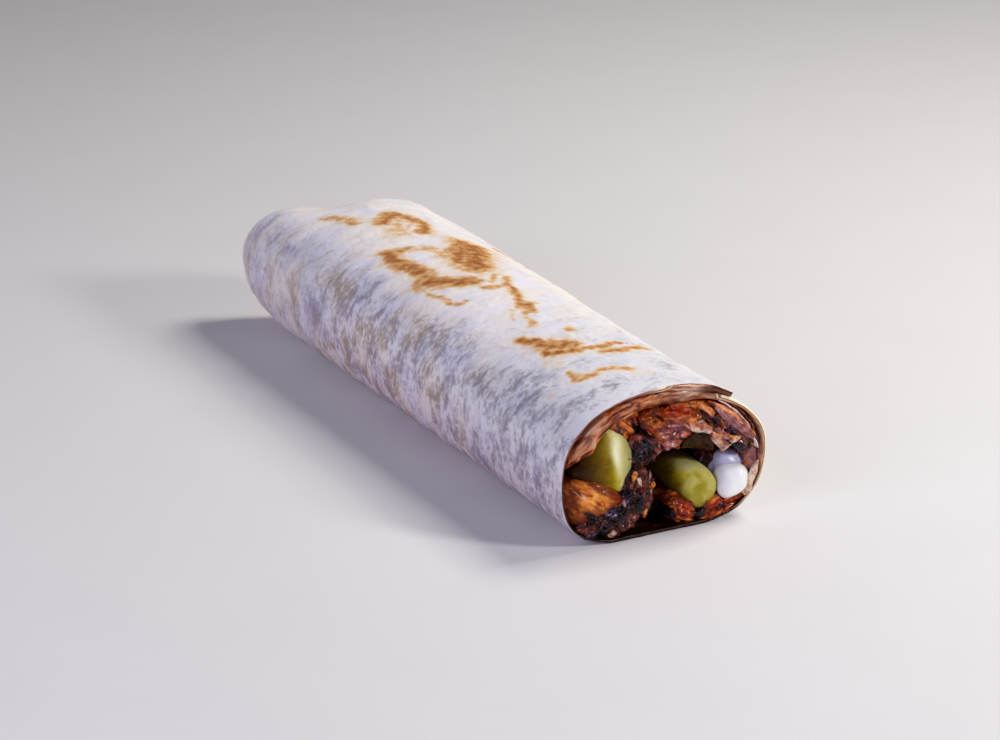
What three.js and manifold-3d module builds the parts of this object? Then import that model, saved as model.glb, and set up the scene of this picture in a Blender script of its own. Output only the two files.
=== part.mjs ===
// A doner kebab wrap: a thin flatbread rolled nearly two turns round strips of
// grilled meat, two pickled cucumber spears and a ribbon of garlic sauce.
// One end is cut straight across and shows the fillings, the other is folded shut.
// Millimetres, +Z up. The roll lies along Y with its cut end towards -Y.
import * as THREE from 'three';
import { LoftGeometry } from 'three/addons/geometries/LoftGeometry.js';
import { mergeGeometries, mergeVertices } from 'three/addons/utils/BufferGeometryUtils.js';
import Module from 'manifold-3d';

const { degToRad, lerp, smoothstep } = THREE.MathUtils;

// The roll
const ROLL_LENGTH = 210;                    // along its middle line
const CUT_WIDTH = 66;
const CUT_HEIGHT = 44.5;
const FOLDED_WIDTH = 72.8;                  // the roll is slacker towards the folded end
const FOLDED_HEIGHT = 47.8;
const FOLDED_END_SKEW = degToRad(-22.7);    // the folded end runs askew, its left side longer
const FOOT_SINK = 0.6;                      // the underside is pressed flat by this much
const SQUARENESS = { topRight: 1.83, topLeft: 2.25, bottomLeft: 3.15, bottomRight: 2.85 };

// The folded end
const SIDE_ROUNDING = { depth: 0.165, length: 22.7 };   // share of the width lost at the end
const TOP_ROUNDING = { depth: 0.5, length: 33 };        // share of the height lost at the end
const PLUG_START = 0.93;                                // from here on the roll is folded solid
const SHEET_END = 0.955;                                // the rolled layers run this far into it
const PLUG_TUCK = 0.15;                                 // it lies this far under the outer layer

// The flatbread
const BREAD_THICKNESS = 1.2;
const LAYER_PITCH = 1.5;                    // from one layer's outer face to the next
const FREE_EDGE_ANGLE = degToRad(42);       // the flap's edge, high on the right
const TURNS = 1.925;
const STEP_UNDER_FLAP = 0.8;                // from this turn on the sheet slips under its flap
const STEPS_PER_TURN = 40;
const SHEET_STATIONS = [0, 0.04, 0.12, 0.25, 0.4, 0.55, 0.68, 0.8, 0.87, 0.92, SHEET_END];
const PLUG_STATIONS = [PLUG_START, SHEET_END, 0.967, 0.978, 0.987, 0.994, 0.998, 1];

// The end's upper and lower folds meet in one crease across it: each ring is drawn in
// to these shares of the end's width and height, and sunk by so many millimetres.
const CREASE_RINGS = [
  { across: 0.93, upward: 0.8, sink: 0 },
  { across: 0.84, upward: 0.45, sink: 0.6 },
  { across: 0.76, upward: 0.06, sink: 3.2 },
];

// The fillings
const ROOM_INSET = 3.9;                     // from the outline to the space for the fillings
const FILLING_GAP = 0.35;
const FILLING_STEPS = 18;
const FILLING_STATIONS = [0.045, 0.09, 0.15, 0.28, 0.48, 0.68, 0.82, 0.9];
const SPREAD_START = 0.03;                  // behind the cut each filling spreads into its space
const SPREAD_END = 0.2;
const TAIL_SHRINK = 0.85;                   // and it rounds off before the folded end

// How each kind of filling is shaped: its nose is so much slimmer over so many
// millimetres, and behind the cut it fills so much of the space around it.
const KINDS = {
  meat: { nose: 0.74, noseLength: 1.6, spread: 1 },
  pickle: { nose: 0.93, noseLength: 0.6, spread: 0.35 },
  sauce: { nose: 0.5, noseLength: 3.5, spread: 0.6 },
};

const FINISHES = {
  bread: { color: 0xded6d8, roughness: 0.85 },
  grilled: { color: 0xb5672c, roughness: 0.5 },
  browned: { color: 0x7a3a1e, roughness: 0.45 },
  charred: { color: 0x2b1a1c, roughness: 0.35 },
  pickle: { color: 0x9a9330, roughness: 0.25 },
  sauce: { color: 0xf2f1f6, roughness: 0.3 },
};

// Each filling on the cut: the place of its middle across and up, how strongly it
// pushes its neighbours away, its half sizes, its tilt in degrees, its squareness,
// how far it sits back from the cut, its kind and its finish. A flat side is given
// by its distance from the middle and the direction in degrees that it faces.
const FILLINGS = {
  pickle_left: {
    at: [-14.6, 24.6], push: 44, half: [4.6, 9.6], tilt: 14, squareness: 2.3, setBack: 1.5,
    flatSide: [3.2, 200], kind: 'pickle', finish: 'pickle',
  },
  pickle_centre: {
    at: [12.6, 10], push: 14, half: [4.2, 4.6], tilt: 6, squareness: 3.4, setBack: 2.5,
    kind: 'pickle', finish: 'pickle',
  },
  garlic_sauce: {
    at: [21.8, 12.4], push: 26, half: [5.7, 5.8], tilt: 10, squareness: 2, setBack: 2.5,
    kind: 'sauce', finish: 'sauce',
  },
  meat_left: {
    at: [-20, 14.6], push: 55, half: [9.8, 5.5], tilt: -30, squareness: 2.4, setBack: 0.6,
    kind: 'meat', finish: 'grilled',
  },
  meat_charred: {
    at: [-17, 6.8], push: 12, half: [8.8, 2.8], tilt: -12, squareness: 2.3, setBack: 0.5,
    kind: 'meat', finish: 'charred',
  },
  meat_tucked: {
    at: [-11.5, 34], push: 0, half: [4, 4.2], tilt: -35, squareness: 2.2, setBack: 5,
    kind: 'meat', finish: 'browned',
  },
  meat_middle: {
    at: [-7.6, 14], push: 12, half: [3.8, 8], tilt: 10, squareness: 2.3, setBack: 0.5,
    kind: 'meat', finish: 'charred',
  },
  meat_burnt: {
    at: [-5.6, 26.2], push: 6, half: [5.2, 4.3], tilt: -10, squareness: 2.3, setBack: 2,
    kind: 'meat', finish: 'charred',
  },
  meat_top: {
    at: [4, 31.6], push: 30, half: [8.8, 5], tilt: -8, squareness: 2.4, setBack: 1.5,
    kind: 'meat', finish: 'grilled',
  },
  meat_slice_upper: {
    at: [22, 30], push: 6, half: [10.5, 2.5], tilt: -42, squareness: 2.4, setBack: 1,
    kind: 'meat', finish: 'browned',
  },
  meat_slice_lower: {
    at: [18.4, 26.4], push: 8, half: [9.6, 2.7], tilt: -38, squareness: 2.4, setBack: 1.5,
    kind: 'meat', finish: 'charred',
  },
  meat_red: {
    at: [5, 6.6], push: 8, half: [4.6, 2.6], tilt: -18, squareness: 2.2, setBack: 0.5,
    kind: 'meat', finish: 'grilled',
  },
  meat_base_right: {
    at: [19, 5.6], push: 4, half: [6.5, 1.7], tilt: 8, squareness: 2.2, setBack: 0.8,
    kind: 'meat', finish: 'browned',
  },
};

const wasm = await Module();
wasm.setup();

// ---------------------------------------------------------------- the roll's form

// 0 away from the folded end, rising to 1 at it along a quarter circle.
function rounding(fromEnd, length) {
  const rise = Math.max(0, 1 - fromEnd / length);
  return 1 - Math.sqrt(1 - rise ** 2);
}

// Half sizes and middle height of the roll, a share s of the way to its folded end.
function rollSize(s) {
  const fromEnd = ROLL_LENGTH * (1 - s);
  const fullHalfWidth = lerp(CUT_WIDTH, FOLDED_WIDTH, s) / 2;
  const fullHalfHeight = lerp(CUT_HEIGHT, FOLDED_HEIGHT, s) / 2;
  return {
    halfWidth: fullHalfWidth * (1 - SIDE_ROUNDING.depth * rounding(fromEnd, SIDE_ROUNDING.length)),
    halfHeight: fullHalfHeight * (1 - TOP_ROUNDING.depth * rounding(fromEnd, TOP_ROUNDING.length)),
    middle: fullHalfHeight - FOOT_SINK,
  };
}

function squarenessAt(angle) {
  const right = Math.cos(angle) >= 0;
  if (Math.sin(angle) >= 0) return right ? SQUARENESS.topRight : SQUARENESS.topLeft;
  return right ? SQUARENESS.bottomRight : SQUARENESS.bottomLeft;
}

// How far a squared oval reaches from its middle in one direction.
function ovalReach(angle, halfWidth, halfHeight, squareness) {
  const across = Math.abs(Math.cos(angle)) / halfWidth;
  const upward = Math.abs(Math.sin(angle)) / halfHeight;
  return (across ** squareness + upward ** squareness) ** (-1 / squareness);
}

// A point across and up in the roll's section, put in its place along the roll.
function placed(x, z, s) {
  const y = ROLL_LENGTH * (s - 0.5) + s * Math.tan(FOLDED_END_SKEW) * x;
  return new THREE.Vector3(x, y, z);
}

// A point of the roll's section at an angle, inset from its outer face.
function rollPoint(s, angle, inset) {
  const { halfWidth, halfHeight, middle } = rollSize(s);
  const reach = ovalReach(angle, halfWidth - inset, halfHeight - inset, squarenessAt(angle));
  const z = middle + reach * Math.sin(angle);
  return placed(reach * Math.cos(angle), Math.max(z, inset), s);
}

// ---------------------------------------------------------------- the flatbread

// How deep the sheet's outer face lies in the roll, so many turns from its free edge.
function layerInset(turn) {
  if (turn >= 1) return layerInset(turn - 1) + LAYER_PITCH;
  return LAYER_PITCH * smoothstep(turn, STEP_UNDER_FLAP, 1);
}

function turnAngle(turn) {
  return FREE_EDGE_ANGLE + 2 * Math.PI * turn;
}

// The sheet's section: along its outer face and back along its inner one.
function sheetRing(s) {
  const steps = Math.round(TURNS * STEPS_PER_TURN);
  const outer = [];
  const inner = [];
  for (let i = 0; i <= steps; i++) {
    const turn = TURNS * i / steps;
    outer.push(rollPoint(s, turnAngle(turn), layerInset(turn)));
    inner.unshift(rollPoint(s, turnAngle(turn), layerInset(turn) + BREAD_THICKNESS));
  }
  return [...outer, ...inner];
}

// The folded end's section: one turn, just under the sheet's outer face.
function plugRing(s) {
  const ring = [];
  for (let i = 0; i < STEPS_PER_TURN; i++) {
    const turn = (i + 0.2) / (STEPS_PER_TURN - 0.8);
    ring.push(rollPoint(s, turnAngle(turn), layerInset(Math.min(turn, 0.999)) + PLUG_TUCK));
  }
  return ring;
}

// The end's outline drawn in towards the crease and sunk along the roll.
function creaseRing({ across, upward, sink }) {
  const { middle } = rollSize(1);
  return plugRing(1).map((point) => {
    const drawnIn = placed(point.x * across, middle + (point.z - middle) * upward, 1);
    drawnIn.y -= sink;
    return drawnIn;
  });
}

// Closes a ring with triangles that fan out from its middle.
function fanCap(ring, facesCut) {
  const middle = new THREE.Vector3();
  for (const point of ring) middle.addScaledVector(point, 1 / ring.length);
  const triangles = [];
  for (let i = 0; i < ring.length; i++) {
    const next = (i + 1) % ring.length;
    triangles.push(ring.length, facesCut ? i : next, facesCut ? next : i);
  }
  return new THREE.BufferGeometry().setFromPoints([...ring, middle]).setIndex(triangles);
}

// Closes a ring that runs out along one face of a sheet and back along the other.
function stripCap(ring, facesCut) {
  const triangles = [];
  for (let i = 0; i + 1 < ring.length / 2; i++) {
    const back = ring.length - 1 - i;
    const quad = facesCut ? [i, i + 1, back - 1, back] : [back, back - 1, i + 1, i];
    triangles.push(quad[0], quad[1], quad[2], quad[0], quad[2], quad[3]);
  }
  return new THREE.BufferGeometry().setFromPoints(ring).setIndex(triangles);
}

// Rings from the folded end towards the cut, counterclockwise seen from the cut,
// make a closed body that faces outwards.
function loft(rings, cap) {
  const wall = new LoftGeometry(rings);
  wall.deleteAttribute('normal');
  wall.deleteAttribute('uv');
  return mergeVertices(mergeGeometries([wall, cap(rings[0], false), cap(rings.at(-1), true)]));
}

function toSolid(geometry) {
  const vertProperties = new Float32Array(geometry.attributes.position.array);
  const triVerts = new Uint32Array(geometry.index.array);
  return new wasm.Manifold(new wasm.Mesh({ numProp: 3, vertProperties, triVerts }));
}

function fromSolid(solid) {
  const mesh = solid.getMesh();
  const geometry = new THREE.BufferGeometry();
  geometry.setAttribute('position', new THREE.BufferAttribute(mesh.vertProperties, 3));
  geometry.setIndex(new THREE.BufferAttribute(mesh.triVerts, 1));
  return geometry;
}

function flatbread() {
  const sheet = loft([...SHEET_STATIONS].reverse().map(sheetRing), stripCap);
  const plug = loft([
    ...[...CREASE_RINGS].reverse().map(creaseRing),
    ...[...PLUG_STATIONS].reverse().map(plugRing),
  ], fanCap);
  return fromSolid(toSolid(sheet).add(toSolid(plug)));
}

// ---------------------------------------------------------------- the fillings

// How far the room inside the bread reaches from a point of the cut, by halving.
function roomReach([x, z], angle) {
  const { halfWidth, halfHeight, middle } = rollSize(0);
  let near = 0;
  let far = CUT_WIDTH;
  for (let halving = 0; halving < 30; halving++) {
    const reach = (near + far) / 2;
    const dx = x + reach * Math.cos(angle);
    const dz = z + reach * Math.sin(angle) - middle;
    const way = Math.atan2(dz, dx);
    const limit = ovalReach(way, halfWidth - ROOM_INSET, halfHeight - ROOM_INSET, squarenessAt(way));
    const inside = Math.hypot(dx, dz) < limit && dz + middle > ROOM_INSET;
    if (inside) near = reach;
    else far = reach;
  }
  return near;
}

// How far a filling may reach before the room's edge or a neighbour stops it.
// Two neighbours part along a straight line, further from the one that pushes more.
function spaceReach(name, angle) {
  const own = FILLINGS[name];
  let reach = roomReach(own.at, angle);
  for (const [otherName, other] of Object.entries(FILLINGS)) {
    if (otherName === name) continue;
    const dx = other.at[0] - own.at[0];
    const dz = other.at[1] - own.at[1];
    const distance = Math.hypot(dx, dz);
    const border = (distance ** 2 + own.push - other.push) / (2 * distance) - FILLING_GAP / 2;
    const facing = (dx * Math.cos(angle) + dz * Math.sin(angle)) / distance;
    if (facing > 0.001) reach = Math.min(reach, border / facing);
  }
  return reach;
}

// How far a filling's own form reaches: a tilted squared oval with perhaps a flat side.
function formReach({ half, tilt, squareness, flatSide }, angle) {
  const reach = ovalReach(angle - degToRad(tilt), half[0], half[1], squareness);
  if (!flatSide) return reach;
  const facing = Math.cos(angle - degToRad(flatSide[1]));
  return facing > 0.001 ? Math.min(reach, flatSide[0] / facing) : reach;
}

// A filling's section at s, its form times a scale and never past its space.
// The room grows with the roll, and so does all that is in it.
function fillingRing(name, s, scale) {
  const filling = FILLINGS[name];
  const cut = rollSize(0);
  const here = rollSize(s);
  const spread = KINDS[filling.kind].spread * smoothstep(s, SPREAD_START, SPREAD_END);
  const ring = [];
  for (let i = 0; i < FILLING_STEPS; i++) {
    const angle = 2 * Math.PI * i / FILLING_STEPS + degToRad(filling.tilt);
    const space = spaceReach(name, angle);
    const reach = scale * lerp(Math.min(formReach(filling, angle), space), space, spread);
    const x = filling.at[0] + reach * Math.cos(angle);
    const z = filling.at[1] + reach * Math.sin(angle);
    const widened = x * here.halfWidth / cut.halfWidth;
    const raised = here.middle + (z - cut.middle) * here.halfHeight / cut.halfHeight;
    ring.push(placed(widened, raised, s));
  }
  return ring;
}

function fillingBody(name) {
  const { setBack, kind } = FILLINGS[name];
  const { nose, noseLength } = KINDS[kind];
  const tip = setBack / ROLL_LENGTH;
  const shoulder = (setBack + noseLength) / ROLL_LENGTH;
  const rings = [fillingRing(name, tip, nose), fillingRing(name, shoulder, 1)];
  const last = FILLING_STATIONS.at(-1);
  for (const s of FILLING_STATIONS) rings.push(fillingRing(name, s, s === last ? TAIL_SHRINK : 1));
  return loft(rings.reverse(), fanCap);
}

// ---------------------------------------------------------------- the wrap

function piece(name, geometry, finish) {
  geometry.computeVertexNormals();
  const material = new THREE.MeshStandardMaterial({ ...FINISHES[finish], metalness: 0 });
  const mesh = new THREE.Mesh(geometry, material);
  mesh.name = name;
  return mesh;
}

const wrap = new THREE.Group();
wrap.add(piece('flatbread', flatbread(), 'bread'));
for (const [name, { finish }] of Object.entries(FILLINGS)) {
  wrap.add(piece(name, fillingBody(name), finish));
}

// The origin is the middle of the wrap's footprint, on the surface that it lies on.
const bounds = new THREE.Box3().setFromObject(wrap);
const footprint = bounds.getCenter(new THREE.Vector3());
wrap.position.set(-footprint.x, -footprint.y, -bounds.min.z);

export default wrap;
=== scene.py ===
# %% [markdown]
# # A doner kebab wrap
#
# The wrap is a thin flatbread rolled nearly two turns round grilled meat, two
# pickle spears and a ribbon of garlic sauce. One end is cut across, the other is
# folded shut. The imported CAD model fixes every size. This script gives each of its
# pieces the surface and the finish that real food has.
#
# Nearly every piece is a grid of points worked out with numpy. Lengths are in
# millimetres until a mesh is filled, because food is easier to think of that way.

# %% Load the frame
from itertools import product

import bpy
import numpy as np
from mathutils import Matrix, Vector


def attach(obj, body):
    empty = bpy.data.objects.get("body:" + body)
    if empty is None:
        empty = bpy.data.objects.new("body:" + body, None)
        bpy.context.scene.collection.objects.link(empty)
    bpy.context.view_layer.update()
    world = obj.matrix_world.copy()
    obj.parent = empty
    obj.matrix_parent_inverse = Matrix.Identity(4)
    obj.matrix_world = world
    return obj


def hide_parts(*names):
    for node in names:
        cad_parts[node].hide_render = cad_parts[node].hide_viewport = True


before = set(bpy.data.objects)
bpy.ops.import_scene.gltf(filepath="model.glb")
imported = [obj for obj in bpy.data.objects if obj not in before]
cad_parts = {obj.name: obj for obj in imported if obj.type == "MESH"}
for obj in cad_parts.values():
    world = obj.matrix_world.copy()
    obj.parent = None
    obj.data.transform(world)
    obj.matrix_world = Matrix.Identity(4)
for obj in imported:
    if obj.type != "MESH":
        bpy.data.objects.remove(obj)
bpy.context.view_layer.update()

MM = 0.001
print("CAD nodes:", sorted(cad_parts))

# %% [markdown]
# ## The camera
#
# The view is from the front left and from above, with a long lens, as food is often
# shown. A camera can be turned by angles or pointed at a place. Pointing is easier
# to read: a direction and a distance from one target on the table.

# %% The camera
VIEW_TARGET = (20.0, 25.2, 0.0)
VIEW_AZIMUTH = np.radians(-27.95)
VIEW_ELEVATION = np.radians(20.61)
VIEW_DISTANCE = 968.9
VIEW_LENS = 108.0


def place_camera():
    """Puts the camera on a line from the target, towards its azimuth and elevation."""
    away = Vector((
        np.sin(VIEW_AZIMUTH) * np.cos(VIEW_ELEVATION),
        -np.cos(VIEW_AZIMUTH) * np.cos(VIEW_ELEVATION),
        np.sin(VIEW_ELEVATION),
    ))
    lens = bpy.data.cameras.new("camera")
    lens.lens = VIEW_LENS
    lens.sensor_width = 36.0
    lens.clip_start = 0.02
    camera = bpy.data.objects.new("camera", lens)
    bpy.context.scene.collection.objects.link(camera)
    camera.location = (Vector(VIEW_TARGET) + away * VIEW_DISTANCE) * MM
    camera.rotation_euler = (-away).to_track_quat("-Z", "Y").to_euler()
    bpy.context.scene.camera = camera
    print("camera at", tuple(round(v, 3) for v in camera.location))


place_camera()

# %% [markdown]
# ## Small tools
#
# Soft steps and random hills shape everything here. The hills come from a grid of
# random values, one for each corner of a cube of space, mixed smoothly in between.
# They are worked out from whole numbers alone, so each run gives the same wrap.

# %% Steps
def smooth(low, high, value):
    """0 below low, 1 above high, and an S-shaped rise between them."""
    share = np.clip((value - low) / (high - low), 0.0, 1.0)
    return share * share * (3.0 - 2.0 * share)


def fall(low, high, value):
    """1 below low, 0 above high, and the same S-shape between them."""
    return 1.0 - smooth(low, high, value)


def plateau(value, rise, drop):
    """1 between a rise and a drop, each given by where it starts and ends."""
    return smooth(*rise, value) * fall(*drop, value)


def bell(value, middle, half):
    """1 in the middle, and less and less on both sides of it, like a bell."""
    return np.exp(-(((value - middle) / half) ** 2))


def wrapped(degrees, lowest):
    """The same direction in degrees, counted from lowest through one full turn."""
    return np.mod(degrees - lowest, 360.0) + lowest


def in_degrees(angle):
    """An angle in degrees, from 0 to 360."""
    return wrapped(np.degrees(angle), 0.0)


def mix(first, second, share):
    """A straight mix: the first where share is 0, the second where it is 1."""
    return first + (second - first) * share


def turned(x, z, tilt):
    """Two coordinates turned round their zero point by a tilt in degrees."""
    cosine, sine = np.cos(np.radians(tilt)), np.sin(np.radians(tilt))
    return x * cosine - z * sine, x * sine + z * cosine


print("a third of the way up a step:", round(smooth(0.0, 3.0, 1.0), 3))

# %% Hills
def corner_value(cell, seed):
    """A random number from -1 to 1 for each grid corner: its three whole numbers
    are multiplied by large primes, and the bits of the sum are stirred."""
    stirred = cell[..., 0] * 73856093 ^ cell[..., 1] * 19349663 ^ cell[..., 2] * 83492791
    stirred = (stirred ^ (seed * 668265263)) & 0x7FFFFFFF
    stirred = ((stirred ^ (stirred >> 15)) * 2246822519) & 0x7FFFFFFF
    stirred = ((stirred ^ (stirred >> 13)) * 3266489917) & 0x7FFFFFFF
    return ((stirred >> 8) & 0xFFFF) / 32767.5 - 1.0


def hills(points, size, seed):
    """Random hills of one size: a point takes the mix of its cell's eight corner
    values, each weighted by how near it is along the three axes."""
    scaled = points / size + 100.0
    cell = np.floor(scaled).astype(np.int64)
    inside = scaled - cell
    inside = inside * inside * (3.0 - 2.0 * inside)
    total = np.zeros(points.shape[:-1])
    for corner in product((0, 1), repeat=3):
        weight = np.prod(np.where(corner, inside, 1.0 - inside), axis=-1)
        total += weight * corner_value(cell + np.array(corner), seed)
    return total


def rough_hills(points, size, seed, layers=3):
    """Hills with smaller hills on them: each layer has half the size and half the
    height of the one before."""
    total = np.zeros(points.shape[:-1])
    for layer in range(layers):
        total += hills(points, size / 2**layer, seed + layer) / 2**layer
    return total


def ridges(points, size, seed, layers=2):
    """Narrow crests where rough hills pass through zero: 1 on a crest, less away."""
    return 1.0 - np.abs(rough_hills(points, size, seed, layers)) * 2.0


print("three hills:", hills(np.arange(9.0).reshape(3, 3), 2.0, 1).round(2))

# %% [markdown]
# ## From a grid to a mesh
#
# A ring of points that moves through space sweeps a skin. The rows of the grid are
# the rings. Each end is closed in one of two ways: with a fan of triangles round a
# middle point, or, for a sheet that runs out and back, with a strip that joins its
# two faces. The rings run counterclockwise as seen from the first row, so that
# every face looks outwards.

# %% Faces of a grid
def wall_faces(rows, columns):
    """Four-sided faces between each ring and the next, closed round each ring."""
    corner = np.arange(rows * columns).reshape(rows, columns)
    here, beside = corner[:-1], np.roll(corner, -1, axis=1)[:-1]
    behind, behind_beside = corner[1:], np.roll(corner, -1, axis=1)[1:]
    return np.stack([here, behind, behind_beside, beside], axis=-1).reshape(-1, 4)


def fan_faces(ring, middle, looks_back):
    """Triangles from each side of a ring to its middle point."""
    beside = np.roll(ring, -1)
    pair = (beside, ring) if looks_back else (ring, beside)
    return np.stack([pair[0], pair[1], np.full_like(ring, middle)], axis=-1)


def strip_faces(ring, looks_back):
    """Four-sided faces between a ring's way out and its way back."""
    half = len(ring) // 2
    out, back = ring[:half], ring[::-1][:half]
    quads = np.stack([out[:-1], out[1:], back[1:], back[:-1]], axis=-1)
    return quads[:, ::-1] if looks_back else quads


print("faces round a grid of 4 by 6 points:", len(wall_faces(4, 6)))

# %% Filling a mesh
def fill_mesh(name, points, quads, triangles):
    """Fills a mesh from whole arrays and shades it smooth. Its origin is the middle of
    the footprint, as in the CAD model."""
    mesh = bpy.data.meshes.new(name)
    corners = np.concatenate([quads.ravel(), triangles.ravel()])
    sizes = np.concatenate([np.full(len(quads), 4), np.full(len(triangles), 3)])
    starts = np.concatenate([[0], np.cumsum(sizes)[:-1]])
    mesh.vertices.add(len(points))
    mesh.vertices.foreach_set("co", ((points - FOOTPRINT) * MM).astype(np.float32).ravel())
    mesh.loops.add(len(corners))
    mesh.loops.foreach_set("vertex_index", corners.astype(np.int32))
    mesh.polygons.add(len(sizes))
    mesh.polygons.foreach_set("loop_start", starts.astype(np.int32))
    mesh.update(calc_edges=True)
    mesh.validate()
    mesh.shade_smooth()
    piece = bpy.data.objects.new(name, mesh)
    bpy.context.scene.collection.objects.link(piece)
    return piece


def with_poles(grid):
    """A grid's values as a list, with the averages of its two end rings added."""
    return np.concatenate([grid.reshape(-1, *grid.shape[2:]), grid[[0, -1]].mean(axis=1)])


def all_points(grids):
    """The points of several closed bodies in one list."""
    return np.concatenate([with_poles(grid) for grid in grids])


def skin_with_fans(name, grids):
    """One mesh of closed bodies, each a grid of rings closed to its ends' middles."""
    quads, triangles = [], []
    first = 0
    for grid in grids:
        rows, columns = grid.shape[:2]
        near_ring = np.arange(columns) + first
        near_pole = first + rows * columns
        quads.append(wall_faces(rows, columns) + first)
        triangles.append(fan_faces(near_ring, near_pole, False))
        triangles.append(fan_faces(near_ring + (rows - 1) * columns, near_pole + 1, True))
        first = near_pole + 2
    return fill_mesh(name, all_points(grids), np.concatenate(quads), np.concatenate(triangles))


def sheet_mesh(name, points):
    """A thin sheet as one closed mesh: its wall, and a strip at each end."""
    rows, columns = points.shape[:2]
    ring = np.arange(columns)
    last = ring + (rows - 1) * columns
    quads = np.concatenate([
        wall_faces(rows, columns),
        strip_faces(ring, False),
        strip_faces(last, True),
    ])
    return fill_mesh(name, points.reshape(-1, 3), quads, np.zeros((0, 3), int))

# %% Balls, fields and delivery
BALL_FULLNESS = 0.85


def ball_grid(middle, halves, rings=40, columns=64):
    """A ball's rings from its front pole to its back one, stretched to an oval. A power
    below 1 makes it fuller than a round ball."""
    from_front = np.linspace(0.0, np.pi, rings + 2)[1:-1, None]
    angle = np.linspace(0, 2 * np.pi, columns, endpoint=False)
    ball = np.stack(np.broadcast_arrays(
        np.sin(from_front) * np.cos(angle), -np.cos(from_front), np.sin(from_front) * np.sin(angle),
    ), axis=-1)
    ball = np.sign(ball) * np.abs(ball) ** BALL_FULLNESS
    return np.array(middle) + ball * np.array(halves)


def write_fields(piece, **fields):
    """Stores a number or a vector for each point under each name, for the materials to
    read. A plain number goes to every point."""
    count = len(piece.data.vertices)
    for name, values in fields.items():
        values = np.asarray(values, dtype=np.float32)
        if values.ndim == 0:
            values = np.full(count, values)
        is_vector = values.size == 3 * count
        attribute = piece.data.attributes.new(name, "FLOAT_VECTOR" if is_vector else "FLOAT", "POINT")
        attribute.data.foreach_set("vector" if is_vector else "value", values.ravel())


def deliver(piece, node, material):
    """Gives a piece its material and its body, hides the CAD node that it stands for
    unless it is an extra, and prints how many triangles it has."""
    piece.data.materials.append(material)
    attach(piece, "root")
    if node:
        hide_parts(node)
    triangles = sum(len(face.vertices) - 2 for face in piece.data.polygons)
    print(f"{piece.name}: {triangles} triangles")


print("a ball's grid:", ball_grid((0, 0, 0), (1, 1, 1)).shape[:2], "points")

# %% [markdown]
# ## Material tools
#
# A finish is a small graph of nodes. This helper keeps the graph readable: each
# method adds one node, links what it is given and returns its output. Numbers that
# are the same all over the surface are set on the shader itself.

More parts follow.
